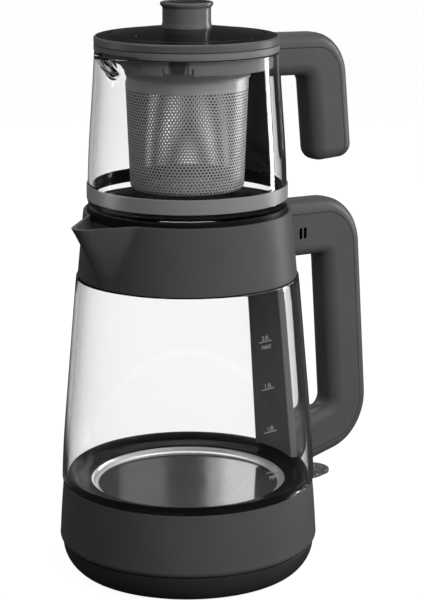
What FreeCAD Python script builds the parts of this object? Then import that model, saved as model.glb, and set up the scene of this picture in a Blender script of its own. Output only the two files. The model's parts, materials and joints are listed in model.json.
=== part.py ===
import FreeCAD, Part
import math
import os

# A two-storey tea maker: a cordless glass kettle on a power base, and a glass
# teapot with an infuser that stands on the kettle's mouth.
# Millimetres. The origin is on the round axis at the level of the table. +Z is
# up, +X points to the two handles and -X to the two spouts.

# Clearances
slip_gap = 0.3
running_gap = 0.05
assembly_gap = 0.1
seam_gap = 0.12
body_seam = 0.3

# Driving sizes
base_height = 19.0
body_radius = 84.5
lower_collar_height = 40.2
kettle_glass_height = 135.8
collar_waist_radius = 70.7
collar_mouth_radius = 66.5
upper_collar_height = 42.1
teapot_glass_height = 99.9
teapot_rim_radius = 58.3
lid_rim_height = 5.35
knob_height = 16.0
gasket_thickness = 0.6

# Power base
foot_stand = 1.3
base_rim_z = base_height
deck_recess = 2.0
base_deck_z = base_rim_z - deck_recess
base_rim_radius = body_radius - 1.5
base_belly_radius = base_rim_radius - 2.4
base_belly_z = 8.6
base_bottom_radius = base_rim_radius - 8.5
base_wall = 2.4
deck_thickness = 2.2
bottom_plate_thickness = 2.2
bottom_plate_top_z = foot_stand + bottom_plate_thickness
bottom_plate_radius = base_bottom_radius - base_wall - 1.6
foot_radius = 9.0
foot_circle_radius = base_bottom_radius - foot_radius - 4.5
foot_recess = 1.0
foot_chamfer = 0.4
foot_count = 4
foot_first_angle = 45.0
screw_head_recess = 1.0
base_screw_circle_radius = 52.0
base_screw_count = 3
base_screw_first_angle = 30.0

# Cord gland, opposite the front in +Y
gland_radius = 4.4
gland_flange_radius = 5.4
gland_flange_thickness = 1.6
gland_flange_inset = 2.0
gland_inside_length = 12.6
gland_outside_length = 10.0
gland_round = 1.0
cord_hole_radius = 3.0
gland_z = (bottom_plate_top_z + base_deck_z - deck_thickness) / 2

# Turning power connector
tower_radius = 16.0
tower_rise = 16.0
tower_top_z = base_deck_z + tower_rise
tower_chamfer = 1.2
tower_flange_radius = 22.0
tower_flange_thickness = 2.0
pin_radius = 3.5
pin_rise = 2.5
pin_round = 1.2
pin_depth = 23.0
pin_top_z = tower_top_z + pin_rise
pin_bottom_z = tower_top_z - pin_depth
inner_slot_radius = 7.8
outer_slot_radius = 12.0
slot_width = 2.2
slot_depth = 11.0
contact_seat_gap = 0.01
ring_width = 0.5
ring_top_drop = 1.5
blade_width = 0.7
blade_drop = 6.0
blade_contact_gap = 0.1
socket_wall = 3.0
socket_roof_gap = 1.5
socket_roof = 3.5
socket_flange_width = 4.0
socket_flange_thickness = 2.0
socket_skirt = 1.5

# Kettle lower collar and floor
kettle_bottom_z = base_rim_z + body_seam
collar_bottom_radius = base_rim_radius
collar_belly_radius = body_radius
collar_belly_z = kettle_bottom_z + 4.2
collar_top_z = kettle_bottom_z + lower_collar_height
collar_top_radius = body_radius - 2.6
collar_bulge = 0.2
collar_middle_radius = (collar_belly_radius + collar_top_radius) / 2 + collar_bulge
collar_middle_z = (collar_belly_z + collar_top_z) / 2
collar_wall = 2.5
collar_inner_top = collar_top_radius - collar_wall
floor_plate_recess = 1.7
floor_plate_z = kettle_bottom_z + floor_plate_recess
floor_plate_thickness = 2.2
floor_plate_top_z = floor_plate_z + floor_plate_thickness
floor_plate_radius = collar_belly_radius - collar_wall - 1.2
rest_rib_radius = body_radius - 22.5
rest_rib_width = 3.0
boss_radius = 3.6
boss_circle_radius = body_radius - 10.5
boss_count = 3
boss_first_angle = 60.0

# Heater
plate_recess = 1.1
plate_dish = 2.9
plate_thickness = 0.8
plate_edge_gap = 4.9
plate_flange_width = 11.1
plate_round_width = 4.4
plate_flange_top_z = collar_top_z - plate_recess
plate_flange_bottom_z = plate_flange_top_z - plate_thickness
plate_disc_z = plate_flange_top_z - plate_dish
plate_underside_z = plate_disc_z - plate_thickness
plate_flange_radius = collar_inner_top - plate_edge_gap
plate_rim_radius = plate_flange_radius - plate_flange_width
plate_disc_radius = plate_rim_radius - plate_round_width
ledge_width = 4.0
ledge_thickness = 2.4
ledge_inner_radius = plate_flange_radius - ledge_width
ledge_bottom_z = plate_flange_bottom_z - ledge_thickness
seal_top_z = collar_top_z + gasket_thickness
clamp_ring_outer_radius = collar_inner_top - 2 * assembly_gap
clamp_ring_top_radius = clamp_ring_outer_radius - 1.0
clamp_ring_top_z = seal_top_z + 4.5
clamp_ring_step_radius = plate_flange_radius - 2.1
clamp_ring_step_z = plate_flange_top_z + 2.6
clamp_ring_inner_radius = plate_rim_radius + 0.4
clamp_ring_inner_z = plate_flange_top_z + 1.2
diffuser_radius = 50.0
diffuser_thickness = 2.5
diffuser_bottom_z = plate_underside_z - diffuser_thickness
element_circle_radius = 38.0
element_tube_radius = 3.4
element_start = 30.0
element_sweep = 300.0
cold_pin_radius = 1.6
cold_pin_length = 9.0
control_radius = 24.0
control_flat_depth = 5.0
control_height = 6.5
control_stud_radius = 2.5
control_stud_circle = 14.0
control_stud_count = 2

# Kettle glass: the waist and middle are heights on its curve, as shares of the glass
glass_wall = 3.0
glass_overhang = 0.8
glass_foot_taper = 0.4
glass_shoulder_step = 1.5
glass_shoulder_height = 5.4
glass_shoulder_z = seal_top_z + kettle_glass_height
glass_top_z = glass_shoulder_z - glass_shoulder_height
glass_low_z = seal_top_z + 11.9
glass_foot_radius = collar_top_radius + glass_overhang
glass_low_radius = glass_foot_radius - glass_foot_taper
glass_top_radius = collar_waist_radius + glass_shoulder_step
glass_mouth_radius = collar_waist_radius - 0.5
glass_waist_share = 0.33
glass_waist_bulge = 0.4
glass_middle_share = 0.70
glass_middle_bulge = 0.2

# Kettle upper collar with spout
upper_collar_bottom_z = glass_shoulder_z + gasket_thickness
upper_collar_top_z = upper_collar_bottom_z + upper_collar_height
upper_collar_wall = 2.4
upper_flange_thickness = 2.5
inner_skirt_radius = glass_top_radius - glass_wall - 0.9
inner_skirt_wall = 1.8
inner_skirt_depth = 7.5
spout_overhang = 27.3
spout_half_width = 23.4
spout_wall_shift = 4.0
spout_channel_growth = 1.3
spout_depth_inside = 25.0
spout_root_x = 30.0

# Teapot seat ring and the teapot's foot
teapot_lift_over_collar = 0.6
teapot_bottom_z = upper_collar_top_z + teapot_lift_over_collar
teapot_foot_radius = collar_mouth_radius - 2.5
teapot_corner = 8.0
seat_inner_radius = 46.0
seat_thickness = 4.0
seat_lip_height = 2.5
seat_lip_chamfer = 0.7
seat_lip_top_z = teapot_bottom_z + seat_lip_height
seat_lip_inner_radius = (teapot_foot_radius - teapot_corner + 2 * slip_gap
                         + math.sqrt(teapot_corner ** 2 - (teapot_corner - seat_lip_height) ** 2))
seat_ledge_radius = teapot_foot_radius - 3.5
seat_ledge_thickness = 3.0
seat_ledge_sweep = 308.0

# Steam duct
duct_half_angle = 17.0
duct_turn = -8.0
duct_glass_gap = 2.6
duct_depth = 5.2
duct_wall = 1.4
duct_foot_rise = 1.5
duct_foot_inset = 0.7
duct_bend_rise = 23.9
duct_top_rise = 4.0
duct_top_z = upper_collar_bottom_z + duct_top_rise

# Kettle handle, drawn in the XZ plane along its parting line
handle_half_width = 11.0
handle_crown = 9.5
handle_crown_round = 9.0
handle_inner_round = 8.0
handle_skin = 2.6
handle_reach = 60.0
top_arm_at = (collar_mouth_radius, upper_collar_top_z - 13.3)
top_arm_fall = 3.0
top_arm_depth = 29.3
bottom_arm_at = (collar_top_radius + 21.9, kettle_bottom_z + 38.0)
bottom_arm_rise = 9.8
bottom_arm_depth = 24.0
grip_at = (body_radius + handle_reach, (top_arm_at[1] + bottom_arm_at[1]) / 2)
grip_tilt = 4.5
grip_depth = 24.5
handle_corner = 27.0
handle_inner_top_corner = 3.0
handle_inner_bottom_corner = 6.0
handle_root_length = 14.5
handle_root_x = collar_mouth_radius - 11.5
top_block_x = collar_mouth_radius + handle_root_length
bottom_block_x = collar_top_radius + handle_root_length
vent_x = (collar_mouth_radius + 23.6, collar_mouth_radius + 27.6)
vent_bottom_z = upper_collar_top_z - 30.8
vent_top_z = vent_bottom_z + 6.3
vent_width = 1.5
top_screw_z = upper_collar_top_z - 27.6
top_screw_y = 5.5

# Switch lever
lever_pivot_x = body_radius - 9.0
lever_pivot_z = kettle_bottom_z + 16.2
lever_hub_radius = 4.2
lever_pin_radius = 1.5
lever_pin_half_length = 11.0
lever_stem_half_width = 7.0
lever_paddle_half_width = 11.0
lever_paddle_root_x = body_radius + 2.5
lever_reach = 41.5
lever_tip_x = lever_paddle_root_x + lever_reach
lever_top_z = lever_pivot_z + 3.1
lever_thickness = 3.0
lever_belly = 3.6
lever_tip_round = 10.0
lever_root_round = 3.0
lever_edge_round = 0.8
lever_trip_length = 10.0
lever_trip_half_width = 3.0
lever_trip_half_height = 1.2
window_side_gap = 1.5
window_round = 2.0
window_bottom_z = lever_pivot_z - 4.5
window_top_z = lever_pivot_z + 5.5
bottom_screw_z = (window_top_z + ledge_bottom_z) / 2
switch_frame_wall = 2.0
switch_frame_length = 14.0
switch_frame_nose = 3.2
switch_frame_rise = 5.0
pin_seat_gap = 0.01
bimetal_radius = 7.0
bimetal_thickness = 0.6
bimetal_drop = 1.5
lamp_radius = 2.0
lamp_length = 3.0
lamp_drop = 7.0

# Teapot glass, band and lip: belly and chest are heights on the curve, as shares
teapot_wall = 2.6
teapot_base_thickness = 4.0
teapot_floor_round = 6.0
teapot_rim_z = teapot_bottom_z + teapot_glass_height
band_height = 9.2
band_bottom_z = teapot_bottom_z + teapot_corner - 0.6
band_top_z = band_bottom_z + band_height
band_radius = teapot_foot_radius + 0.2
teapot_groove_radius = teapot_foot_radius - 0.8
teapot_low_radius = teapot_foot_radius - 0.6
teapot_belly_share = 0.24
teapot_belly_bulge = 0.4
teapot_chest_share = 0.63
teapot_chest_bulge = 0.1
lip_overhang = 14.0
lip_rise = 1.9
lip_depth = 13.6
lip_half_width = 17.0
lip_wall_shift = 3.6
lip_channel_growth = 1.4
lip_depth_inside = 10.0
lip_root_x = 25.0
lip_tip_z = teapot_rim_z + lip_rise
lip_toe_z = teapot_rim_z - lip_depth

# Teapot neck ring with skirt
neck_bottom_z = teapot_rim_z + gasket_thickness
neck_step_z = neck_bottom_z + 1.2
neck_ring_top_z = neck_step_z + 2.95
neck_ring_radius = teapot_rim_radius + 0.25
skirt_radius = teapot_rim_radius - teapot_wall - 1.4
skirt_wall = 1.8
skirt_inner_radius = skirt_radius - skirt_wall
skirt_bottom_z = teapot_rim_z - 9.1
skirt_gap_half_angle = 19.0
neck_web = 0.6
ledge_z = teapot_rim_z - 2.1
ledge_height = 2.5
ledge_radius = skirt_radius - 6.8
tongue_azimuth = -136.0
tongue_half_angle = 9.4
tongue_slit_width = 1.4
catch_half_angle = 5.6
catch_depth = 0.9
catch_top_z = ledge_z - 0.7

# Teapot back strap and handle
strap_half_angle = 14.0
strap_thickness = 1.6
strap_glass_gap = 0.15
strap_outer_radius = teapot_rim_radius + strap_glass_gap + strap_thickness
pot_arm_at = (teapot_rim_radius + 12.8, teapot_rim_z - 3.1)
pot_arm_fall = 2.9
pot_arm_depth = 18.6
pot_handle_reach = 69.7
pot_grip_at = (teapot_rim_radius + pot_handle_reach, teapot_rim_z - 51.1)
pot_grip_tilt = 6.0
pot_grip_depth = 25.0
pot_handle_corner = 22.0
pot_inner_corner = 5.0
pot_end_corner = 10.5
pot_handle_bottom_z = band_top_z + 2.5
pot_handle_round = 8.6
pot_root_x = teapot_rim_radius - 8.3
pot_block_x = strap_outer_radius + 13.9
pot_screw_z = (teapot_rim_z - 16.6, teapot_rim_z - 6.1)

# Infuser
infuser_flange_radius = skirt_inner_radius - 2 * slip_gap
infuser_flange_thickness = 1.0
infuser_flange_top_z = ledge_z + infuser_flange_thickness
infuser_sheet = 0.8
infuser_neck_radius = ledge_radius - 3.5
infuser_funnel_top_z = ledge_z - 7.0
infuser_funnel_radius = infuser_neck_radius - 1.0
infuser_ring_bottom_z = ledge_z - 13.5
infuser_ring_height = 1.5
infuser_ring_radius = infuser_neck_radius - 4.0
basket_sheet = 0.6
basket_top_z = infuser_ring_bottom_z + infuser_ring_height - assembly_gap
basket_top_radius = infuser_ring_radius - infuser_sheet - assembly_gap
basket_taper = 2.9
basket_bottom_radius = basket_top_radius - basket_taper
basket_floor_gap = 9.3
basket_bottom_z = teapot_bottom_z + teapot_base_thickness + basket_floor_gap
basket_corner = 9.0
basket_floor_radius = 26.0
floor_disc_overlap = 1.5

# Lid and knob
lid_radius = neck_ring_radius - 0.05
lid_rim_top_z = neck_ring_top_z + lid_rim_height
lid_crown_z = lid_rim_top_z + 4.8
lid_dome_fall = 1.6
lid_step_radius = lid_radius - 9.5
lid_step_z = lid_rim_top_z + 0.8
lid_step_depth = 0.5
lid_under_z = neck_ring_top_z + 2.2
lid_boss_height = 3.0
lid_skirt_radius = skirt_inner_radius - 1.3
lid_skirt_wall = 1.8
lid_skirt_bottom_z = infuser_flange_top_z + 1.4
lid_seal_radius = skirt_inner_radius - 0.4
lid_seal_z = lid_skirt_bottom_z + 1.6
lid_seal_height = 2.0
lid_groove_depth = 0.8
knob_top_z = lid_crown_z + knob_height
knob_stem_radius = 15.8
knob_seat_radius = knob_stem_radius + 1.2
knob_waist_radius = knob_stem_radius - 0.5
knob_flange_radius = knob_stem_radius + 0.95
knob_flange_height = 2.4
knob_flange_z = knob_top_z - knob_flange_height
knob_wall = 2.4
knob_floor = 1.8
knob_cap_radius = knob_flange_radius - 2.15
knob_cap_recess = 0.5
knob_cap_thickness = 1.4
knob_cap_round = 0.4
knob_cap_seat_z = knob_top_z - knob_cap_recess - knob_cap_thickness
knob_boss_radius = 4.0
knob_boss_gap = 1.5
vent_hole_radius = 1.6
vent_hole_circle = 40.0

# Screws
screw_shank_radius = 1.5
screw_head_radius = 3.0
screw_head_height = 1.8
screw_length = 9.0
screw_slot_width = 0.7
spot_face_depth = 0.3
pilot_radius = screw_shank_radius + running_gap
screw_hole_radius = screw_shank_radius + slip_gap

up = FreeCAD.Vector(0, 0, 1)
origin = FreeCAD.Vector(0, 0, 0)


def at(x, y, z):
    return FreeCAD.Vector(x, y, z)


def polar(radius, degrees, z=0.0):
    turn = math.radians(degrees)
    return at(radius * math.cos(turn), radius * math.sin(turn), z)


def outline(steps):
    """Closed face in the XZ plane. A step is a point, or an arc's middle and end."""
    edges = []
    here = at(steps[0][0], 0, steps[0][1])
    first = here
    for step in steps[1:]:
        there = at(step[-2], 0, step[-1])
        if len(step) == 4:
            edges.append(Part.Arc(here, at(step[0], 0, step[1]), there).toShape())
        else:
            edges.append(Part.LineSegment(here, there).toShape())
        here = there
    edges.append(Part.LineSegment(here, first).toShape())
    return Part.Face(Part.Wire(edges))


def turned(steps, start=0.0, sweep=360.0):
    """Solid of revolution about Z from (radius, height) steps."""
    solid = outline(steps).revolve(origin, up, sweep)
    solid.rotate(origin, up, start)
    return solid


def curve_edge(points):
    curve = Part.BSplineCurve()
    curve.interpolate([at(x, 0, z) for x, z in points])
    return curve.toShape()


def line_edge(a, b):
    return Part.LineSegment(at(a[0], 0, a[1]), at(b[0], 0, b[1])).toShape()


def arc_edge(a, middle, b):
    return Part.Arc(at(a[0], 0, a[1]), at(middle[0], 0, middle[1]), at(b[0], 0, b[1])).toShape()


def revolved(edges):
    return Part.Face(Part.Wire(edges)).revolve(origin, up, 360.0)


def ring(inner, outer, bottom, top):
    return turned([(inner, bottom), (outer, bottom), (outer, top), (inner, top)])


def post(radius, bottom, top, x=0.0, y=0.0):
    return Part.makeCylinder(radius, top - bottom, at(x, y, bottom))


def bar_x(radius, x0, x1, y, z):
    return Part.makeCylinder(radius, x1 - x0, at(x0, y, z), at(1, 0, 0))


def block(x0, x1, y0, y1, z0, z1):
    return Part.makeBox(x1 - x0, y1 - y0, z1 - z0, at(x0, y0, z0))


def fused(shapes):
    whole = shapes[0]
    for shape in shapes[1:]:
        whole = whole.fuse(shape)
    return whole.removeSplitter()


def around(shape, count, first=0.0):
    copies = []
    for index in range(count):
        copy = shape.copy()
        copy.rotate(origin, up, first + index * 360.0 / count)
        copies.append(copy)
    return copies


def screw(position, direction, length=screw_length):
    """Pan-head screw: position is under the head and direction points along the shank."""
    head_start = position - direction * screw_head_height
    head = Part.makeCylinder(screw_head_radius, screw_head_height, head_start, direction)
    shank = Part.makeCylinder(screw_shank_radius, length, position, direction)
    slot = Part.makeBox(2 * screw_head_radius, screw_slot_width, screw_slot_width)
    slot.translate(at(-screw_head_radius, -screw_slot_width / 2, -0.01))
    slot.Placement = FreeCAD.Placement(head_start, FreeCAD.Rotation(up, direction)).multiply(slot.Placement)
    return head.fuse(shank).cut(slot).removeSplitter()


# Outlines of the handles -----------------------------------------------------

def line_at(point, degrees):
    turn = math.radians(degrees)
    return (point, (math.cos(turn), math.sin(turn)))


def shifted(line, distance):
    """The parallel line at a distance to its left."""
    (x, z), (dx, dz) = line
    return ((x - dz * distance, z + dx * distance), (dx, dz))


def meet(one, two):
    (x1, z1), (dx1, dz1) = one
    (x2, z2), (dx2, dz2) = two
    along = ((x2 - x1) * dz2 - (z2 - z1) * dx2) / (dx1 * dz2 - dz1 * dx2)
    return (x1 + along * dx1, z1 + along * dz1)


def upright(x):
    return ((x, 0.0), (0.0, 1.0))


def rounded(corners):
    """Closed face in the XZ plane from (point, corner radius) pairs."""
    count = len(corners)
    ends = []
    for index, (corner, radius) in enumerate(corners):
        before = corners[index - 1][0]
        after = corners[(index + 1) % count][0]
        here = at(corner[0], 0, corner[1])
        to_before = (at(before[0], 0, before[1]) - here).normalize()
        to_after = (at(after[0], 0, after[1]) - here).normalize()
        if radius == 0:
            ends.append((here, here, here))
            continue
        half = to_before.getAngle(to_after) / 2
        inwards = (to_before + to_after).normalize()
        reach = radius / math.tan(half)
        crest = here + inwards * (radius / math.sin(half) - radius)
        ends.append((here + to_before * reach, crest, here + to_after * reach))
    edges = []
    for index, (start, crest, end) in enumerate(ends):
        if start.distanceToPoint(end) > 1e-6:
            edges.append(Part.Arc(start, crest, end).toShape())
        following = ends[(index + 1) % count][0]
        edges.append(Part.LineSegment(end, following).toShape())
    return Part.Face(Part.Wire(edges))


def slab(face, half_width):
    """The face's prism between y = -half_width and y = +half_width."""
    copy = face.copy()
    copy.translate(at(0, -half_width, 0))
    return copy.extrude(at(0, 2 * half_width, 0))


def side_edges(solid, half_width, keep):
    """Edges on the two flat flanks whose middle point passes the keep test."""
    found = []
    for edge in solid.Edges:
        low = edge.BoundBox.YMin
        high = edge.BoundBox.YMax
        middle = edge.valueAt((edge.FirstParameter + edge.LastParameter) / 2)
        if high - low < 1e-6 and abs(abs(low) - half_width) < 1e-6 and keep(middle):
            found.append(edge)
    return found


# Kettle handle lines: the parting line, then its parallels
top_line = line_at(top_arm_at, -top_arm_fall)
grip_line = line_at(grip_at, grip_tilt - 90.0)
bottom_line = line_at(bottom_arm_at, 180.0 + bottom_arm_rise)


def kettle_handle_face(grow, root):
    """Outer region of the handle, grown past the parting line by grow."""
    top = shifted(top_line, grow)
    grip = shifted(grip_line, grow)
    bottom = shifted(bottom_line, grow)
    under_top = shifted(top_line, -top_arm_depth)
    inner_grip = shifted(grip_line, -grip_depth)
    over_bottom = shifted(bottom_line, -bottom_arm_depth)
    return rounded([
        (meet(top, upright(root)), 0),
        (meet(top, grip), handle_corner + grow),
        (meet(grip, bottom), handle_corner + grow),
        (meet(bottom, upright(root)), 0),
        (meet(over_bottom, upright(root)), 0),
        (meet(over_bottom, inner_grip), handle_inner_bottom_corner),
        (meet(inner_grip, under_top), handle_inner_top_corner),
        (meet(under_top, upright(root)), 0),
    ])


def kettle_handle_volume():
    face = kettle_handle_face(handle_crown, handle_root_x)
    solid = slab(face, handle_half_width)
    edge_of_grip = grip_at[0] - grip_depth / 2

    def on_window(point):
        far_in = point.x < edge_of_grip + (grip_at[1] - point.z) * math.tan(math.radians(grip_tilt))
        between = bottom_arm_at[1] + handle_corner / 4 < point.z < top_arm_at[1] - handle_corner / 4
        return far_in and between and point.x > handle_root_x + 1

    def on_crown(point):
        return not on_window(point) and point.x > handle_root_x + 1

    solid = solid.makeFillet(handle_crown_round, side_edges(solid, handle_half_width, on_crown))
    return solid.makeFillet(handle_inner_round, side_edges(solid, handle_half_width, on_window))


def kettle_handle_cavity():
    """The hollow of the handle; both arms stay solid at their roots, where the screws bite."""
    face = kettle_handle_face(handle_crown, top_block_x - 2 * handle_skin)
    inner = face.makeOffset2D(-handle_skin)
    cavity = slab(inner, handle_half_width - handle_skin)
    inner_round = handle_inner_round - handle_skin
    edges = side_edges(cavity, handle_half_width - handle_skin, lambda point: True)
    cavity = cavity.makeFillet(inner_round, edges)
    upper = block(top_block_x, grip_at[0] * 2, -handle_half_width, handle_half_width,
                  grip_at[1], upper_collar_top_z * 2)
    lower = block(bottom_block_x, grip_at[0] * 2, -handle_half_width, handle_half_width, 0, grip_at[1])
    return cavity.common(upper.fuse(lower).removeSplitter())


def teapot_handle_face(grow):
    top = shifted(line_at(pot_arm_at, -pot_arm_fall), grow)
    grip = shifted(line_at(pot_grip_at, pot_grip_tilt - 90.0), grow)
    under = shifted(line_at(pot_arm_at, -pot_arm_fall), -pot_arm_depth)
    inner_grip = shifted(line_at(pot_grip_at, pot_grip_tilt - 90.0), -pot_grip_depth)
    end_line = line_at((pot_grip_at[0], pot_handle_bottom_z), 180.0 + pot_grip_tilt)
    return rounded([
        (meet(top, upright(pot_root_x)), 0),
        (meet(top, grip), pot_handle_corner + grow),
        (meet(grip, end_line), pot_end_corner),
        (meet(end_line, inner_grip), pot_end_corner),
        (meet(inner_grip, under), pot_inner_corner),
        (meet(under, upright(pot_root_x)), 0),
    ])


def teapot_handle_volume():
    solid = slab(teapot_handle_face(handle_crown), handle_half_width)
    edges = side_edges(solid, handle_half_width, lambda point: point.x > pot_root_x + 1)
    return solid.makeFillet(pot_handle_round, edges)


def teapot_handle_cavity():
    inner = teapot_handle_face(handle_crown).makeOffset2D(-handle_skin)
    cavity = slab(inner, handle_half_width - handle_skin)
    edges = side_edges(cavity, handle_half_width - handle_skin, lambda point: True)
    cavity = cavity.makeFillet(pot_handle_round - handle_skin, edges)
    reach = block(pot_block_x, pot_grip_at[0] * 2, -handle_half_width, handle_half_width,
                  teapot_bottom_z, knob_top_z)
    return cavity.common(reach)


# Spouts ----------------------------------------------------------------------

def wedge(tip, side, toe, back):
    """Five-cornered wedge pointing to -X, with its two side corners mirrored in Y."""
    left = at(side[0], side[1], side[2])
    right = at(side[0], -side[1], side[2])
    nose = at(*tip)
    heel = at(*toe)
    inside = at(*back)
    faces = []
    for corners in ((nose, left, heel), (nose, heel, right), (nose, right, left),
                    (left, inside, heel), (right, heel, inside), (left, right, inside)):
        faces.append(Part.Face(Part.makePolygon(list(corners) + [corners[0]])))
    solid = Part.Solid(Part.Shell(faces))
    if solid.Volume < 0:
        solid.reverse()
    return solid


def spout_channel(solid, toe, shift, growth):
    """The hollow of a spout: the wedge moved inwards by the wall and opened upwards."""
    channel = solid.copy()
    channel.scale(growth, at(*toe))
    channel.translate(at(shift, 0, 0))
    return channel


# Power base ------------------------------------------------------------------

def base_shell():
    inner_rim = base_rim_radius - base_wall
    shell = turned([
        (base_bottom_radius, foot_stand),
        (base_belly_radius, base_belly_z, base_rim_radius, base_rim_z),
        (inner_rim, base_rim_z),
        (inner_rim - 1.0, base_deck_z),
        (tower_radius + assembly_gap, base_deck_z),
        (tower_radius + assembly_gap, base_deck_z - deck_thickness),
        (inner_rim - 1.6, base_deck_z - deck_thickness),
        (base_belly_radius - base_wall, base_belly_z, base_bottom_radius - base_wall, bottom_plate_top_z),
        (bottom_plate_radius + assembly_gap, bottom_plate_top_z),
        (bottom_plate_radius + assembly_gap, foot_stand),
    ])
    boss = post(boss_radius, bottom_plate_top_z, base_deck_z - deck_thickness / 2, base_screw_circle_radius)
    pilot = post(pilot_radius, 0, base_deck_z - deck_thickness, base_screw_circle_radius)
    for copy in around(boss, base_screw_count, base_screw_first_angle):
        shell = shell.fuse(copy)
    for copy in around(pilot, base_screw_count, base_screw_first_angle):
        shell = shell.cut(copy)
    gland_hole = Part.makeCylinder(gland_radius + assembly_gap, 2 * gland_inside_length,
                                   at(0, base_belly_radius - gland_inside_length, gland_z), at(0, 1, 0))
    return shell.cut(gland_hole).removeSplitter()


def base_bottom_cover():
    plate = post(bottom_plate_radius, foot_stand, bottom_plate_top_z)
    recess = post(foot_radius + assembly_gap, foot_stand, foot_stand + foot_recess, foot_circle_radius)
    for hole in around(recess, foot_count, foot_first_angle):
        plate = plate.cut(hole)
    head_hole = post(screw_head_radius + slip_gap, foot_stand, foot_stand + screw_head_recess,
                     base_screw_circle_radius)
    shank_hole = post(screw_hole_radius, foot_stand, bottom_plate_top_z, base_screw_circle_radius)
    for hole in around(head_hole.fuse(shank_hole), base_screw_count, base_screw_first_angle):
        plate = plate.cut(hole)
    return plate


def base_feet():
    foot = post(foot_radius, 0, foot_stand + foot_recess, foot_circle_radius)
    foot = foot.makeChamfer(foot_chamfer, [edge for edge in foot.Edges if edge.BoundBox.ZMax < 1e-6])
    return Part.makeCompound(around(foot, foot_count, foot_first_angle))


def base_screws():
    """Their heads are ground flush with the underside."""
    whole = screw(at(base_screw_circle_radius, 0, foot_stand + screw_head_recess), up)
    flush = post(2 * screw_head_radius, foot_stand - screw_head_height, foot_stand + assembly_gap,
                 base_screw_circle_radius)
    return Part.makeCompound(around(whole.cut(flush), base_screw_count, base_screw_first_angle))


def base_connector():
    tower = post(tower_radius, bottom_plate_top_z, tower_top_z)
    top_edges = [edge for edge in tower.Edges if edge.BoundBox.ZMin > tower_top_z - 1e-6]
    tower = tower.makeChamfer(tower_chamfer, top_edges)
    flange = post(tower_flange_radius, bottom_plate_top_z, bottom_plate_top_z + tower_flange_thickness)
    tower = fused([tower, flange])
    bore = post(pin_radius + running_gap, pin_bottom_z, tower_top_z + 1)
    half = slot_width / 2
    for radius in (inner_slot_radius, outer_slot_radius):
        tower = tower.cut(ring(radius - half, radius + half, tower_top_z - slot_depth, tower_top_z + 1))
    return tower.cut(bore)


def base_contact_rings():
    """Each ring lies against the inner wall of its slot."""
    rings = []
    for radius in (inner_slot_radius, outer_slot_radius):
        inner = radius - slot_width / 2 + contact_seat_gap
        rings.append(ring(inner, inner + ring_width, tower_top_z - slot_depth, tower_top_z - ring_top_drop))
    return Part.makeCompound(rings)


def centre_pin():
    pin = post(pin_radius, pin_bottom_z, pin_top_z)
    return pin.makeFillet(pin_round, [edge for edge in pin.Edges if edge.BoundBox.ZMin > pin_top_z - 1e-6])


def cord_gland():
    inside = base_belly_radius - gland_inside_length
    outside = base_belly_radius + gland_outside_length
    body = Part.makeCylinder(gland_radius, outside - inside, at(0, inside, gland_z), at(0, 1, 0))
    collar = Part.makeCylinder(gland_flange_radius, gland_flange_thickness,
                               at(0, inside + gland_flange_inset, gland_z), at(0, 1, 0))
    bore = Part.makeCylinder(cord_hole_radius, outside - inside + 2, at(0, inside - 1, gland_z), at(0, 1, 0))
    outer_edges = [edge for edge in body.Edges if edge.BoundBox.YMin > outside - 1e-6]
    body = body.makeFillet(gland_round, outer_edges)
    return fused([body, collar]).cut(bore)


# Kettle base -----------------------------------------------------------------

socket_roof_z = tower_top_z + socket_roof_gap
bottom_screw_seat_x = collar_inner_top + 1.0


def top_screw_seat_x():
    """Where the collar's inner face lies at the height of the handle's top screws, plus the spot face."""
    fall = (collar_waist_radius - collar_mouth_radius) / upper_collar_height
    radius = collar_mouth_radius + fall * (upper_collar_top_z - top_screw_z) - upper_collar_wall
    return radius + spot_face_depth


def base_collar():
    wall = turned([
        (collar_bottom_radius, kettle_bottom_z),
        (collar_belly_radius - 0.35, kettle_bottom_z + 1.3, collar_belly_radius, collar_belly_z),
        (collar_middle_radius, collar_middle_z, collar_top_radius, collar_top_z),
        (collar_inner_top, collar_top_z),
        (collar_inner_top, plate_flange_bottom_z),
        (ledge_inner_radius, plate_flange_bottom_z),
        (ledge_inner_radius, ledge_bottom_z),
        (collar_inner_top, ledge_bottom_z),
        (collar_middle_radius - collar_wall, collar_middle_z,
         collar_belly_radius - collar_wall, floor_plate_top_z + 1.5),
        (collar_belly_radius - collar_wall - 2.6, floor_plate_top_z),
        (floor_plate_radius + assembly_gap, floor_plate_top_z),
        (floor_plate_radius + assembly_gap, kettle_bottom_z),
    ])
    boss = post(boss_radius, floor_plate_top_z, ledge_bottom_z + 1, boss_circle_radius)
    for copy in around(boss, boss_count, boss_first_angle):
        wall = wall.fuse(copy)
    pilot = post(pilot_radius, kettle_bottom_z, floor_plate_top_z + screw_length, boss_circle_radius)
    for copy in around(pilot, boss_count, boss_first_angle):
        wall = wall.cut(copy)
    window_half = lever_stem_half_width + window_side_gap
    window = block(lever_pivot_x, lever_paddle_root_x, -window_half, window_half,
                   window_bottom_z, window_top_z)
    window = window.makeFillet(window_round, [edge for edge in window.Edges if edge.BoundBox.XLength > 10])
    wall = wall.cut(window)
    seat_x = bottom_screw_seat_x
    wall = wall.cut(bar_x(screw_head_radius + slip_gap, seat_x - 6, seat_x, 0, bottom_screw_z))
    wall = wall.cut(bar_x(screw_hole_radius, seat_x - 6, seat_x + screw_length, 0, bottom_screw_z))
    return wall.removeSplitter()


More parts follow.
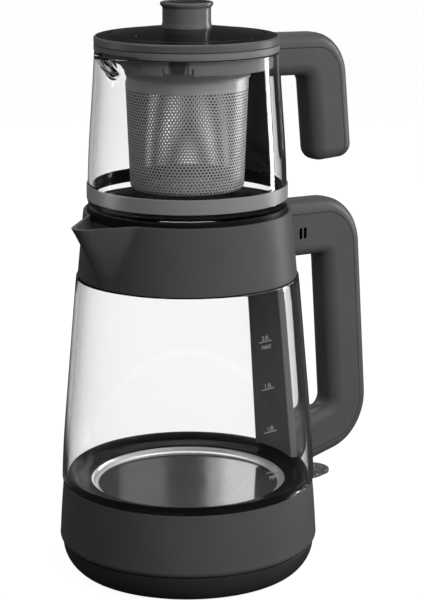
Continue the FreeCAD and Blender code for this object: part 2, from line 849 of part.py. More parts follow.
def kettle_bottom_cover():
    plate = post(floor_plate_radius, floor_plate_z, floor_plate_top_z)
    rib = ring(rest_rib_radius - rest_rib_width / 2, rest_rib_radius + rest_rib_width / 2,
               base_deck_z, floor_plate_z)
    plate = fused([plate, rib])
    plate = plate.cut(post(tower_radius + slip_gap + socket_wall + assembly_gap, 0, collar_top_z))
    hole = post(screw_hole_radius, floor_plate_z, floor_plate_top_z, boss_circle_radius)
    for copy in around(hole, boss_count, boss_first_angle):
        plate = plate.cut(copy)
    return plate


def collar_screws():
    position = at(boss_circle_radius, 0, floor_plate_z)
    return Part.makeCompound(around(screw(position, up), boss_count, boss_first_angle))


def kettle_connector():
    inner = tower_radius + slip_gap
    outer = inner + socket_wall
    return turned([
        (inner, floor_plate_z - socket_skirt),
        (outer, floor_plate_z - socket_skirt),
        (outer, floor_plate_top_z),
        (outer + socket_flange_width, floor_plate_top_z),
        (outer + socket_flange_width, floor_plate_top_z + socket_flange_thickness),
        (outer, floor_plate_top_z + socket_flange_thickness),
        (outer, socket_roof_z + socket_roof),
        (pin_radius + slip_gap, socket_roof_z + socket_roof),
        (pin_radius + slip_gap, socket_roof_z),
        (inner, socket_roof_z),
    ])


def connector_blades():
    blades = []
    for radius in (inner_slot_radius, outer_slot_radius):
        middle = radius + ring_width / 2 + blade_contact_gap
        blades.append(ring(middle - blade_width / 2, middle + blade_width / 2,
                           socket_roof_z - socket_roof_gap - blade_drop, socket_roof_z))
    return Part.makeCompound(blades)


def control_body():
    bottom = socket_roof_z + socket_roof
    body = post(control_radius, bottom, bottom + control_height)
    flat = block(control_radius - control_flat_depth, control_radius, -control_radius, control_radius,
                 bottom, bottom + control_height)
    body = body.cut(flat)
    stud = post(control_stud_radius, bottom + control_height, diffuser_bottom_z, control_stud_circle)
    return fused([body] + around(stud, control_stud_count, 90))


# Heater ----------------------------------------------------------------------

def heating_plate():
    return turned([
        (0, plate_disc_z),
        (plate_disc_radius, plate_disc_z),
        (plate_rim_radius - 1.6, plate_disc_z + 0.9, plate_rim_radius, plate_flange_top_z),
        (plate_flange_radius, plate_flange_top_z),
        (plate_flange_radius, plate_flange_bottom_z),
        (plate_rim_radius + 0.8, plate_flange_bottom_z),
        (plate_rim_radius - 0.9, plate_disc_z + 0.2, plate_disc_radius, plate_underside_z),
        (0, plate_underside_z),
    ])


def heat_diffuser():
    return post(diffuser_radius, diffuser_bottom_z, plate_underside_z)


def heating_element():
    centre_z = diffuser_bottom_z - element_tube_radius
    circle = Part.makeCircle(element_tube_radius, at(element_circle_radius, 0, centre_z), at(0, 1, 0))
    tube = Part.Face(Part.Wire(circle)).revolve(origin, up, element_sweep)
    tube.rotate(origin, up, element_start)
    pins = []
    for degrees in (element_start, element_start + element_sweep):
        foot = polar(element_circle_radius, degrees, centre_z - cold_pin_length)
        pins.append(post(cold_pin_radius, foot.z, centre_z, foot.x, foot.y))
        pins.append(Part.makeSphere(element_tube_radius, polar(element_circle_radius, degrees, centre_z)))
    return fused([tube] + pins)


def plate_seal():
    return ring(plate_flange_radius + assembly_gap, collar_inner_top - assembly_gap,
                plate_flange_bottom_z, seal_top_z)


def plate_clamp_ring():
    return turned([
        (clamp_ring_inner_radius, plate_flange_top_z),
        (clamp_ring_inner_radius, clamp_ring_inner_z),
        (clamp_ring_step_radius - 0.4, clamp_ring_step_z - 0.1),
        (clamp_ring_step_radius, clamp_ring_step_z + 0.5),
        (clamp_ring_top_radius - 1.0, clamp_ring_top_z - 0.4, clamp_ring_top_radius, clamp_ring_top_z),
        (clamp_ring_outer_radius, clamp_ring_top_z),
        (clamp_ring_outer_radius, seal_top_z),
        (plate_flange_radius, seal_top_z),
        (plate_flange_radius, plate_flange_top_z),
    ])


# Kettle glass and upper collar -----------------------------------------------

def between(low, high, share, bulge):
    """A point a share of the way from low to high, moved outwards by the bulge."""
    radius = low[0] + share * (high[0] - low[0]) + bulge
    return (radius, low[1] + share * (high[1] - low[1]))


glass_low = (glass_low_radius, glass_low_z)
glass_top = (glass_top_radius, glass_top_z)
glass_waist = between(glass_low, glass_top, glass_waist_share, glass_waist_bulge)
glass_middle = between(glass_low, glass_top, glass_middle_share, glass_middle_bulge)


def kettle_glass():
    foot_z = seal_top_z
    outer = [(glass_foot_radius, foot_z + 1.0), glass_low, glass_waist, glass_middle, glass_top]
    inner = [(radius - glass_wall, z) for radius, z in outer]
    shoulder_mid = (glass_top_radius - 0.75, glass_top_z + 3.6)
    mouth = (glass_mouth_radius, glass_shoulder_z)
    mouth_inner = (glass_top_radius - glass_wall - 0.2, glass_shoulder_z)
    foot_out = (glass_foot_radius - 1.0, foot_z)
    foot_in = (glass_foot_radius - glass_wall + 0.6, foot_z)
    return revolved([
        line_edge(foot_in, foot_out),
        arc_edge(foot_out, (glass_foot_radius - 0.3, foot_z + 0.3), outer[0]),
        curve_edge(outer),
        arc_edge(outer[-1], shoulder_mid, mouth),
        line_edge(mouth, mouth_inner),
        line_edge(mouth_inner, inner[-1]),
        curve_edge(inner[::-1]),
        line_edge(inner[0], foot_in),
    ])


def glass_foot_gasket():
    return ring(collar_inner_top + 0.4, collar_top_radius - 0.3, collar_top_z, seal_top_z)


def glass_mouth_gasket():
    return ring(inner_skirt_radius + 0.1, glass_mouth_radius, glass_shoulder_z, upper_collar_bottom_z)


spout_toe = (-collar_waist_radius - 0.05, 0, upper_collar_bottom_z + 0.1)
spout_side_x = -math.sqrt(collar_mouth_radius ** 2 - spout_half_width ** 2)


def spout_wedge():
    return wedge((-collar_mouth_radius - spout_overhang, 0, upper_collar_top_z),
                 (spout_side_x, spout_half_width, upper_collar_top_z),
                 spout_toe,
                 (-spout_root_x, 0, upper_collar_top_z - spout_depth_inside))


def upper_collar():
    outer = Part.makeCone(collar_waist_radius, collar_mouth_radius, upper_collar_height,
                          at(0, 0, upper_collar_bottom_z))
    inner = Part.makeCone(collar_waist_radius - upper_collar_wall, collar_mouth_radius - upper_collar_wall,
                          upper_collar_height, at(0, 0, upper_collar_bottom_z))
    spout = spout_wedge()
    channel = spout_channel(spout, spout_toe, spout_wall_shift, spout_channel_growth)
    shell = outer.fuse(spout).cut(inner).cut(channel)
    skirt_inner = inner_skirt_radius - inner_skirt_wall
    flange = ring(skirt_inner, collar_waist_radius - slip_gap, upper_collar_bottom_z,
                  upper_collar_bottom_z + upper_flange_thickness)
    skirt = ring(skirt_inner, inner_skirt_radius, upper_collar_bottom_z - inner_skirt_depth,
                 upper_collar_bottom_z + upper_flange_thickness)
    seat_z = teapot_bottom_z - seat_thickness
    ledge_wall = collar_mouth_radius - upper_collar_wall / 2
    ledge = turned([
        (seat_ledge_radius, seat_z - seat_ledge_thickness),
        (ledge_wall, seat_z - seat_ledge_thickness),
        (ledge_wall, seat_z),
        (seat_ledge_radius, seat_z),
    ], start=-seat_ledge_sweep / 2, sweep=seat_ledge_sweep)
    collar = fused([shell, flange, skirt, ledge])
    seat_x = top_screw_seat_x()
    for y in (-top_screw_y, top_screw_y):
        collar = collar.cut(bar_x(screw_head_radius + slip_gap, seat_x - 6, seat_x, y, top_screw_z))
        collar = collar.cut(bar_x(screw_hole_radius, seat_x - 6, seat_x + screw_length, y, top_screw_z))
    return collar


def teapot_seat():
    bottom = teapot_bottom_z - seat_thickness
    outer = collar_mouth_radius - upper_collar_wall - assembly_gap
    return turned([
        (seat_inner_radius, bottom),
        (outer, bottom),
        (outer, seat_lip_top_z - seat_lip_chamfer),
        (outer - seat_lip_chamfer, seat_lip_top_z),
        (seat_lip_inner_radius, seat_lip_top_z),
        (seat_lip_inner_radius, teapot_bottom_z),
        (seat_inner_radius, teapot_bottom_z),
    ])


def duct_section(radius_out, depth, half_angle, z):
    start = polar(radius_out, -half_angle, z)
    end = polar(radius_out, half_angle, z)
    inner_start = polar(radius_out - depth, -half_angle, z)
    inner_end = polar(radius_out - depth, half_angle, z)
    return Part.Wire([
        Part.Arc(start, at(radius_out, 0, z), end).toShape(),
        Part.LineSegment(end, inner_end).toShape(),
        Part.Arc(inner_end, at(radius_out - depth, 0, z), inner_start).toShape(),
        Part.LineSegment(inner_start, start).toShape(),
    ])


def steam_duct():
    low_z = clamp_ring_step_z + duct_foot_rise
    low_radius = clamp_ring_step_radius - duct_foot_inset
    bend_z = seal_top_z + duct_bend_rise
    wall_slope = (glass_top_radius - glass_low_radius) / (glass_top_z - glass_low_z)
    bend_radius = glass_low_radius + wall_slope * (bend_z - glass_low_z) - glass_wall - duct_glass_gap
    skirt_z = upper_collar_bottom_z - inner_skirt_depth
    skirt_inner = inner_skirt_radius - inner_skirt_wall - slip_gap
    duct_slope = (skirt_inner - bend_radius) / (skirt_z - bend_z)
    low = (low_radius, low_z)
    bend = (bend_radius, bend_z)
    top = (skirt_inner + duct_slope * (duct_top_z - skirt_z), duct_top_z)
    outside = []
    inside = []
    shrink = math.degrees(duct_wall / bend_radius)
    for lower, upper, overlap_low, overlap_high in ((low, bend, 1.0, 0.0), (bend, top, 0.0, 1.0)):
        outside.append(Part.makeLoft([
            duct_section(lower[0], duct_depth, duct_half_angle, lower[1]),
            duct_section(upper[0], duct_depth, duct_half_angle, upper[1]),
        ], True, True))
        slope = (upper[0] - lower[0]) / (upper[1] - lower[1])
        low_cut = (lower[0] - slope * overlap_low, lower[1] - overlap_low)
        high_cut = (upper[0] + slope * overlap_high, upper[1] + overlap_high)
        inside.append(Part.makeLoft([
            duct_section(low_cut[0] - duct_wall, duct_depth - 2 * duct_wall,
                         duct_half_angle - shrink, low_cut[1]),
            duct_section(high_cut[0] - duct_wall, duct_depth - 2 * duct_wall,
                         duct_half_angle - shrink, high_cut[1]),
        ], True, True))
    duct = outside[0].fuse(outside[1])
    duct = duct.cut(inside[0].fuse(inside[1])).removeSplitter()
    duct.rotate(at(0, 0, 0), at(0, 0, 1), duct_turn)
    return duct


# Kettle handle ---------------------------------------------------------------

def body_envelope(gap):
    """Everything the kettle handle's ends butt against, grown by gap."""
    return turned([
        (0, 0),
        (collar_belly_radius + gap, 0),
        (collar_belly_radius + gap, collar_belly_z),
        (collar_middle_radius + gap, collar_middle_z, collar_top_radius + gap, collar_top_z),
        (glass_foot_radius + gap, seal_top_z),
        (glass_foot_radius + gap, glass_low_z),
        (glass_waist[0] + gap, glass_waist[1]),
        (glass_middle[0] + gap, glass_middle[1]),
        (glass_top_radius + gap, upper_collar_bottom_z - gasket_thickness / 2),
        (collar_waist_radius + gap, upper_collar_bottom_z - gasket_thickness / 2),
        (collar_mouth_radius + gap, upper_collar_top_z),
        (collar_mouth_radius + gap, teapot_rim_z),
        (0, teapot_rim_z),
    ])


def kettle_handle_pieces():
    volume = kettle_handle_volume().cut(body_envelope(assembly_gap)).cut(kettle_handle_cavity())
    for y in (-top_screw_y, top_screw_y):
        volume = volume.cut(bar_x(pilot_radius, handle_root_x, top_block_x - 1, y, top_screw_z))
    volume = volume.cut(bar_x(pilot_radius, handle_root_x, bottom_block_x - 1, 0, bottom_screw_z))
    inner_side = slab(kettle_handle_face(-seam_gap / 2, handle_root_x), handle_half_width + 1)
    outer_side = slab(kettle_handle_face(seam_gap / 2, handle_root_x), handle_half_width + 1)
    shell = volume.common(inner_side)
    cover = volume.cut(outer_side)
    for x in vent_x:
        slit = block(x - vent_width / 2, x + vent_width / 2, -2 * handle_half_width, 2 * handle_half_width,
                     vent_bottom_z, vent_top_z)
        long_edges = [edge for edge in slit.Edges if edge.BoundBox.YLength > handle_half_width]
        shell = shell.cut(slit.makeFillet(vent_width / 2 - 0.01, long_edges))
    return shell, cover


def handle_screws():
    seats = [at(top_screw_seat_x(), y, top_screw_z) for y in (-top_screw_y, top_screw_y)]
    seats.append(at(bottom_screw_seat_x, 0, bottom_screw_z))
    return Part.makeCompound([screw(seat, at(1, 0, 0)) for seat in seats])


# Switch ----------------------------------------------------------------------

def switch_lever():
    hub = Part.makeCylinder(lever_hub_radius, 2 * lever_stem_half_width,
                            at(lever_pivot_x, -lever_stem_half_width, lever_pivot_z), at(0, 1, 0))
    stem = block(lever_pivot_x, lever_paddle_root_x + 6, -lever_stem_half_width, lever_stem_half_width,
                 lever_top_z - lever_thickness, lever_top_z)
    plan = [(lever_paddle_root_x, -lever_paddle_half_width), (lever_tip_x, -lever_paddle_half_width),
            (lever_tip_x, lever_paddle_half_width), (lever_paddle_root_x, lever_paddle_half_width)]
    corners = [at(x, y, lever_top_z - lever_thickness) for x, y in plan]
    paddle = Part.Face(Part.makePolygon(corners + corners[:1])).extrude(at(0, 0, lever_thickness))
    tip_edges = [edge for edge in paddle.Edges
                 if edge.BoundBox.ZLength > 1 and edge.BoundBox.XMin > lever_tip_x - 1]
    paddle = paddle.makeFillet(lever_tip_round, tip_edges)
    root_edges = [edge for edge in paddle.Edges
                  if edge.BoundBox.ZLength > 1 and edge.BoundBox.XMax < lever_paddle_root_x + 1]
    paddle = paddle.makeFillet(lever_root_round, root_edges)
    top_edges = [edge for edge in paddle.Edges if edge.BoundBox.ZMin > lever_top_z - 1e-6]
    paddle = paddle.makeFillet(lever_edge_round, top_edges)
    middle_x = (lever_paddle_root_x + lever_tip_x) / 2 + 1
    belly = Part.makeSphere(1.0, origin)
    stretch = FreeCAD.Matrix()
    stretch.scale((lever_tip_x - lever_paddle_root_x) / 2 - 3, lever_paddle_half_width - 2, lever_belly)
    belly = belly.transformGeometry(stretch)
    belly.translate(at(middle_x, 0, lever_top_z - lever_thickness + 0.2))
    belly = belly.cut(block(lever_pivot_x, 2 * lever_tip_x, -lever_tip_x, lever_tip_x,
                            lever_top_z - 1, lever_top_z + 10))
    trip = block(lever_pivot_x - lever_trip_length, lever_pivot_x, -lever_trip_half_width,
                 lever_trip_half_width, lever_pivot_z - lever_trip_half_height,
                 lever_pivot_z + lever_trip_half_height)
    lever = fused([hub, stem, paddle, belly, trip])
    return lever.cut(pin_along_y(lever_pin_radius + running_gap, lever_pin_half_length))


def pin_along_y(radius, half_length):
    return Part.makeCylinder(radius, 2 * half_length, at(lever_pivot_x, -half_length, lever_pivot_z),
                             at(0, 1, 0))


def lever_pin():
    return pin_along_y(lever_pin_radius, lever_pin_half_length)


def switch_frame():
    """Two cheeks that carry the lever's pin, joined by a bridge behind it."""
    inner = lever_stem_half_width + 2 * slip_gap
    outer = lever_pin_half_length
    back_x = lever_pivot_x - switch_frame_length
    top_z = lever_pivot_z + switch_frame_rise
    cheek = block(back_x, lever_pivot_x + switch_frame_nose, inner, outer, floor_plate_top_z, top_z)
    bridge = block(back_x, back_x + switch_frame_wall, -outer, outer, floor_plate_top_z, top_z)
    frame = fused([cheek, cheek.mirror(origin, at(0, 1, 0)), bridge])
    return frame.cut(pin_along_y(lever_pin_radius + pin_seat_gap, 2 * lever_pin_half_length))


def bimetal_disc():
    back_x = lever_pivot_x - switch_frame_length
    return Part.makeCylinder(bimetal_radius, bimetal_thickness,
                             at(back_x - bimetal_thickness, 0, lever_pivot_z - bimetal_drop), at(1, 0, 0))


def indicator_lamp():
    face_x = lever_pivot_x - switch_frame_length + switch_frame_wall
    z = lever_pivot_z - lamp_drop
    lens = Part.makeCylinder(lamp_radius, lamp_length, at(face_x, 0, z), at(1, 0, 0))
    dome = Part.makeSphere(lamp_radius, at(face_x + lamp_length, 0, z))
    return fused([lens, dome])


# Teapot ----------------------------------------------------------------------

teapot_low = (teapot_low_radius, band_top_z + assembly_gap)
teapot_rim = (teapot_rim_radius, teapot_rim_z)
teapot_belly = between(teapot_low, teapot_rim, teapot_belly_share, teapot_belly_bulge)
teapot_chest = between(teapot_low, teapot_rim, teapot_chest_share, teapot_chest_bulge)
teapot_outer = [teapot_low, teapot_belly, teapot_chest, teapot_rim]


def chest_radius_at(z):
    """Outer radius of the teapot's glass between its chest and its rim."""
    share = (z - teapot_chest[1]) / (teapot_rim_z - teapot_chest[1])
    return between(teapot_chest, teapot_rim, share, 0.0)[0]


lip_toe = (-chest_radius_at(lip_toe_z) - 0.1, 0, lip_toe_z)


def lip_wedge():
    side_x = -math.sqrt(teapot_rim_radius ** 2 - lip_half_width ** 2)
    return wedge((-teapot_rim_radius - lip_overhang, 0, lip_tip_z),
                 (side_x, lip_half_width, teapot_rim_z),
                 lip_toe,
                 (-lip_root_x, 0, teapot_rim_z - lip_depth_inside))


def teapot_glass():
    outer = teapot_outer
    groove_bottom = band_bottom_z - assembly_gap
    corner_centre = (teapot_foot_radius - teapot_corner, teapot_bottom_z + teapot_corner)
    diagonal = teapot_corner * math.sqrt(0.5)
    corner_mid = (corner_centre[0] + diagonal, corner_centre[1] - diagonal)
    flat_end = (corner_centre[0], teapot_bottom_z)
    side_start = (teapot_foot_radius - 0.02, groove_bottom)
    body = revolved([
        line_edge((0, teapot_bottom_z), flat_end),
        arc_edge(flat_end, corner_mid, side_start),
        line_edge(side_start, (teapot_groove_radius, groove_bottom)),
        line_edge((teapot_groove_radius, groove_bottom), (teapot_groove_radius, outer[0][1])),
        line_edge((teapot_groove_radius, outer[0][1]), outer[0]),
        curve_edge(outer),
        line_edge(outer[-1], (0, teapot_rim_z)),
        line_edge((0, teapot_rim_z), (0, teapot_bottom_z)),
    ])
    inside = [(radius - teapot_wall, z) for radius, z in outer]
    floor_z = teapot_bottom_z + teapot_base_thickness
    floor_round = teapot_floor_round
    round_mid = floor_round * (1 - math.sqrt(0.5))
    top_inside = (inside[-1][0], teapot_rim_z + 5)
    hollow = revolved([
        line_edge((0, floor_z), (inside[0][0] - floor_round, floor_z)),
        arc_edge((inside[0][0] - floor_round, floor_z),
                 (inside[0][0] - round_mid, floor_z + round_mid), (inside[0][0], floor_z + floor_round)),
        line_edge((inside[0][0], floor_z + floor_round), inside[0]),
        curve_edge(inside),
        line_edge(inside[-1], top_inside),
        line_edge(top_inside, (0, teapot_rim_z + 5)),
        line_edge((0, teapot_rim_z + 5), (0, floor_z)),
    ])
    lip = lip_wedge()
    channel = spout_channel(lip, lip_toe, lip_wall_shift, lip_channel_growth)
    return body.fuse(lip).cut(hollow).cut(channel).removeSplitter()


def teapot_band():
    return ring(teapot_groove_radius + assembly_gap, band_radius, band_bottom_z, band_top_z)


def neck_gasket():
    inner = teapot_rim_radius - teapot_wall + 0.2
    gasket = ring(inner, teapot_rim_radius - 0.2, teapot_rim_z, teapot_rim_z + gasket_thickness)
    return gasket.cut(lip_sector(neck_ring_radius + 10, teapot_rim_z - 5, teapot_rim_z + 5))


def lip_sector(radius, bottom, top):
    return turned([(0, bottom), (radius, bottom), (radius, top), (0, top)],
                  start=180 - skirt_gap_half_angle, sweep=2 * skirt_gap_half_angle)


def neck_ring():
    inner = skirt_inner_radius
    body = turned([
        (inner, neck_ring_top_z),
        (neck_ring_radius, neck_ring_top_z),
        (neck_ring_radius, neck_step_z),
        (teapot_rim_radius, neck_step_z),
        (teapot_rim_radius, neck_bottom_z),
        (skirt_radius, neck_bottom_z),
        (skirt_radius, skirt_bottom_z),
        (inner, skirt_bottom_z),
        (inner, ledge_z - ledge_height),
        (ledge_radius, ledge_z - ledge_height),
        (ledge_radius, ledge_z),
        (inner, ledge_z),
    ])
    below_ledge = lip_sector(skirt_radius + 1, skirt_bottom_z - 1, ledge_z - ledge_height)
    behind_lip = lip_sector(2 * skirt_radius, ledge_z - ledge_height, lip_tip_z + slip_gap)
    behind_lip = behind_lip.cut(post(inner + neck_web, skirt_bottom_z, neck_ring_top_z))
    body = body.cut(below_ledge).cut(behind_lip)
    tab = turned([(skirt_radius + 1, neck_step_z), (strap_outer_radius, neck_step_z),
                  (strap_outer_radius, neck_ring_top_z), (skirt_radius + 1, neck_ring_top_z)],
                 start=-strap_half_angle, sweep=2 * strap_half_angle)
    body = body.fuse(tab)
    slit_angle = math.degrees(tongue_slit_width / skirt_radius)
    for side in (-1, 1):
        start = tongue_azimuth + side * tongue_half_angle - slit_angle / 2
        slit = turned([(inner - 0.5, skirt_bottom_z - 1), (skirt_radius + 1, skirt_bottom_z - 1),
                       (skirt_radius + 1, ledge_z - ledge_height), (inner - 0.5, ledge_z - ledge_height)],
                      start=start, sweep=slit_angle)
        body = body.cut(slit)
    catch_face = skirt_radius - catch_depth
    catch = turned([(catch_face, skirt_bottom_z + catch_depth),
                    (skirt_radius + 1, skirt_bottom_z + catch_depth),
                    (skirt_radius + 1, catch_top_z), (catch_face, catch_top_z)],
                   start=tongue_azimuth - catch_half_angle, sweep=2 * catch_half_angle)
    return body.cut(catch).removeSplitter()


def teapot_strap():
    gap = strap_glass_gap
    inner = [(radius + gap, z) for radius, z in teapot_outer]
    inner[0] = (inner[0][0], band_top_z)
    inner[-1] = (inner[-1][0], neck_step_z)
    outer = [(radius + strap_thickness, z) for radius, z in inner]
    face = Part.Face(Part.Wire([
        curve_edge(inner),
        line_edge(inner[-1], outer[-1]),
        curve_edge(outer[::-1]),
        line_edge(outer[0], inner[0]),
    ]))
    strap = face.revolve(origin, up, 2 * strap_half_angle)
    strap.rotate(origin, up, -strap_half_angle)
    for z in pot_screw_z:
        strap = strap.cut(bar_x(screw_hole_radius, pot_root_x, pot_block_x, 0, z))
    return strap


def teapot_handle_pieces():
    outer = [(radius + strap_glass_gap + strap_thickness + assembly_gap, z)
             for radius, z in teapot_outer]
    outer[-1] = (outer[-1][0], neck_ring_top_z)
    envelope = turned([(0, teapot_bottom_z), (outer[0][0], teapot_bottom_z)] + outer
                      + [(outer[-1][0], knob_top_z), (0, knob_top_z)])
    volume = teapot_handle_volume().cut(envelope).cut(teapot_handle_cavity())
    shell = volume.common(slab(teapot_handle_face(-seam_gap / 2), handle_half_width + 1))
    cover = volume.cut(slab(teapot_handle_face(seam_gap / 2), handle_half_width + 1))
    for z in pot_screw_z:
        shell = shell.cut(bar_x(pilot_radius, pot_root_x, pot_block_x - 1, 0, z))
    return shell, cover


def teapot_handle_screws():
    screws = []
    for z in pot_screw_z:
        head_x = chest_radius_at(z) + strap_glass_gap + assembly_gap
        head = bar_x(screw_hole_radius - running_gap, head_x, head_x + strap_thickness, 0, z)
        shank = bar_x(screw_shank_radius, head_x, head_x + screw_length, 0, z)
        screws.append(fused([head, shank]))
    return Part.makeCompound(screws)


# Infuser ---------------------------------------------------------------------

def infuser_rim():
    sheet = infuser_sheet
    ring_top_z = infuser_ring_bottom_z + infuser_ring_height
    return turned([
        (infuser_flange_radius, ledge_z),
        (infuser_flange_radius, infuser_flange_top_z),
        (infuser_neck_radius - sheet, infuser_flange_top_z),
        (infuser_funnel_radius - sheet, infuser_funnel_top_z),
        (infuser_ring_radius - sheet, ring_top_z),
        (infuser_ring_radius - sheet, infuser_ring_bottom_z),
        (infuser_ring_radius, infuser_ring_bottom_z),
        (infuser_ring_radius, ring_top_z),
        (infuser_funnel_radius, infuser_funnel_top_z),
        (infuser_neck_radius, ledge_z),
    ])


def basket_radius_at(z):
    share = (z - basket_bottom_z) / (basket_top_z - basket_bottom_z)
    return basket_bottom_radius + share * (basket_top_radius - basket_bottom_radius)


def infuser_basket():
    top = basket_top_z
    sheet = basket_sheet
    corner_z = basket_bottom_z + basket_corner
    radius = basket_radius_at(corner_z)
    diagonal = basket_corner * (1 - math.sqrt(0.5))
    inner_corner = basket_corner - sheet
    inner_diagonal = inner_corner * (1 - math.sqrt(0.5))
    return revolved([
        line_edge((basket_radius_at(top), top), (radius, corner_z)),
        arc_edge((radius, corner_z), (radius - diagonal, basket_bottom_z + diagonal),
                 (radius - basket_corner, basket_bottom_z)),
        line_edge((radius - basket_corner, basket_bottom_z), (basket_floor_radius, basket_bottom_z)),
        line_edge((basket_floor_radius, basket_bottom_z), (basket_floor_radius, basket_bottom_z + sheet)),
        line_edge((basket_floor_radius, basket_bottom_z + sheet),
                  (radius - basket_corner, basket_bottom_z + sheet)),
        arc_edge((radius - basket_corner, basket_bottom_z + sheet),
                 (radius - sheet - inner_diagonal, basket_bottom_z + sheet + inner_diagonal),
                 (radius - sheet, corner_z)),
        line_edge((radius - sheet, corner_z), (basket_radius_at(top) - sheet, top)),
        line_edge((basket_radius_at(top) - sheet, top), (basket_radius_at(top), top)),
    ])


def infuser_floor():
    return post(basket_floor_radius + floor_disc_overlap, basket_bottom_z + basket_sheet,
                basket_bottom_z + 2 * basket_sheet)


# Lid -------------------------------------------------------------------------

def lid_disc():
    under_z = lid_under_z
    disc = turned([
        (0, lid_crown_z),
        (knob_seat_radius, lid_crown_z),
        ((knob_seat_radius + lid_step_radius) / 2, lid_crown_z - lid_dome_fall, lid_step_radius, lid_step_z),
        (lid_step_radius + 0.2, lid_step_z - lid_step_depth),
        (lid_step_radius + 0.9, lid_step_z - lid_step_depth),
        (lid_step_radius + 1.1, lid_step_z),
        (lid_radius - 0.9, lid_rim_top_z),
        (lid_radius - 0.2, lid_rim_top_z - 0.2, lid_radius, lid_rim_top_z - 0.9),
        (lid_radius, neck_ring_top_z + 0.4),
        (lid_radius - 0.4, neck_ring_top_z),
        (lid_skirt_radius, neck_ring_top_z),
        (lid_skirt_radius, lid_skirt_bottom_z),
        (lid_skirt_radius - lid_skirt_wall, lid_skirt_bottom_z),
        (lid_skirt_radius - lid_skirt_wall, under_z),
        (2 * screw_head_radius, under_z + lid_boss_height),
        (0, under_z + lid_boss_height),
    ])
    groove = ring(lid_skirt_radius - lid_groove_depth, lid_skirt_radius + 1, lid_seal_z,
                  lid_seal_z + lid_seal_height)
    vent = post(vent_hole_radius, lid_skirt_bottom_z, lid_crown_z + 1, -vent_hole_circle)
    shank = post(screw_hole_radius, neck_ring_top_z, lid_crown_z + 1)
    return disc.cut(groove).cut(vent).cut(shank)


def lid_seal():
    return ring(lid_skirt_radius - lid_groove_depth + running_gap / 2, lid_seal_radius, lid_seal_z,
                lid_seal_z + lid_seal_height)


def lid_knob():
    floor_z = lid_crown_z + knob_floor
    cap_seat_z = knob_cap_seat_z
    knob = turned([
        (0, lid_crown_z),
        (knob_stem_radius, lid_crown_z),
        (knob_stem_radius, lid_crown_z + 1.5),
        (knob_waist_radius, lid_crown_z + 3.0),
        (knob_waist_radius, knob_flange_z - 1.0),
        (knob_flange_radius - 0.5, knob_flange_z),
        (knob_flange_radius, knob_flange_z + 0.7),
        (knob_flange_radius, knob_top_z - 0.6),
        (knob_flange_radius - 0.6, knob_top_z),
        (knob_cap_radius + assembly_gap, knob_top_z),
        (knob_cap_radius + assembly_gap, cap_seat_z),
        (knob_waist_radius - knob_wall, cap_seat_z),
        (knob_waist_radius - knob_wall, floor_z),
        (knob_boss_radius, floor_z),
        (knob_boss_radius, cap_seat_z - knob_boss_gap),
        (0, cap_seat_z - knob_boss_gap),
    ])
    return knob.cut(post(pilot_radius, lid_crown_z - 1, lid_crown_z + screw_length - 1))


def knob_cap():
    cap = post(knob_cap_radius, knob_cap_seat_z, knob_cap_seat_z + knob_cap_thickness)
    top_edges = [edge for edge in cap.Edges if edge.BoundBox.ZMin > knob_cap_seat_z + 1e-6]
    return cap.makeFillet(knob_cap_round, top_edges)


def knob_screw():
    under_z = lid_under_z + lid_boss_height
    return screw(at(0, 0, under_z), up, lid_crown_z - under_z + screw_length - 3)


# Export ----------------------------------------------------------------------

def build():
    handle_shell, handle_cover = kettle_handle_pieces()
    pot_handle_shell, pot_handle_cover = teapot_handle_pieces()
    return {
        "base_shell": base_shell(),
        "base_bottom_cover": base_bottom_cover(),
        "base_feet": base_feet(),
        "base_screws": base_screws(),
        "base_connector": base_connector(),
        "base_contact_rings": base_contact_rings(),
        "cord_gland": cord_gland(),
        "centre_pin": centre_pin(),
        "base_collar": base_collar(),
        "kettle_bottom_cover": kettle_bottom_cover(),
        "collar_screws": collar_screws(),
        "kettle_connector": kettle_connector(),
        "connector_blades": connector_blades(),
        "control_body": control_body(),
        "heating_plate": heating_plate(),
        "heat_diffuser": heat_diffuser(),
        "heating_element": heating_element(),
        "plate_seal": plate_seal(),
        "plate_clamp_ring": plate_clamp_ring(),
        "glass_foot_gasket": glass_foot_gasket(),
        "kettle_glass": kettle_glass(),
        "glass_mouth_gasket": glass_mouth_gasket(),
        "upper_collar": upper_collar(),
        "teapot_seat": teapot_seat(),
        "steam_duct": steam_duct(),
        "handle_shell": handle_shell,
        "handle_cover": handle_cover,
        "handle_screws": handle_screws(),
        "switch_lever": switch_lever(),
        "lever_pin": lever_pin(),
        "switch_frame": switch_frame(),
        "bimetal_disc": bimetal_disc(),
        "indicator_lamp": indicator_lamp(),
        "teapot_glass": teapot_glass(),
        "teapot_band": teapot_band(),
        "neck_gasket": neck_gasket(),
        "neck_ring": neck_ring(),
        "teapot_strap": teapot_strap(),
        "teapot_handle_shell": pot_handle_shell,
        "teapot_handle_cover": pot_handle_cover,
        "teapot_handle_screws": teapot_handle_screws(),
        "infuser_rim": infuser_rim(),
        "infuser_basket": infuser_basket(),
        "infuser_floor": infuser_floor(),
        "lid_disc": lid_disc(),
        "lid_seal": lid_seal(),
        "lid_knob": lid_knob(),
        "knob_cap": knob_cap(),
        "knob_screw": knob_screw(),
    }


os.makedirs("parts", exist_ok=True)
for name, shape in build().items():
    shape.exportStep("parts/" + name + ".step")
    print(name, len(shape.Solids), "solids, valid", shape.isValid(), "volume", round(shape.Volume))
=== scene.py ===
import bpy
import bmesh
import json
import math
import numpy as np
from mathutils import Matrix, Vector


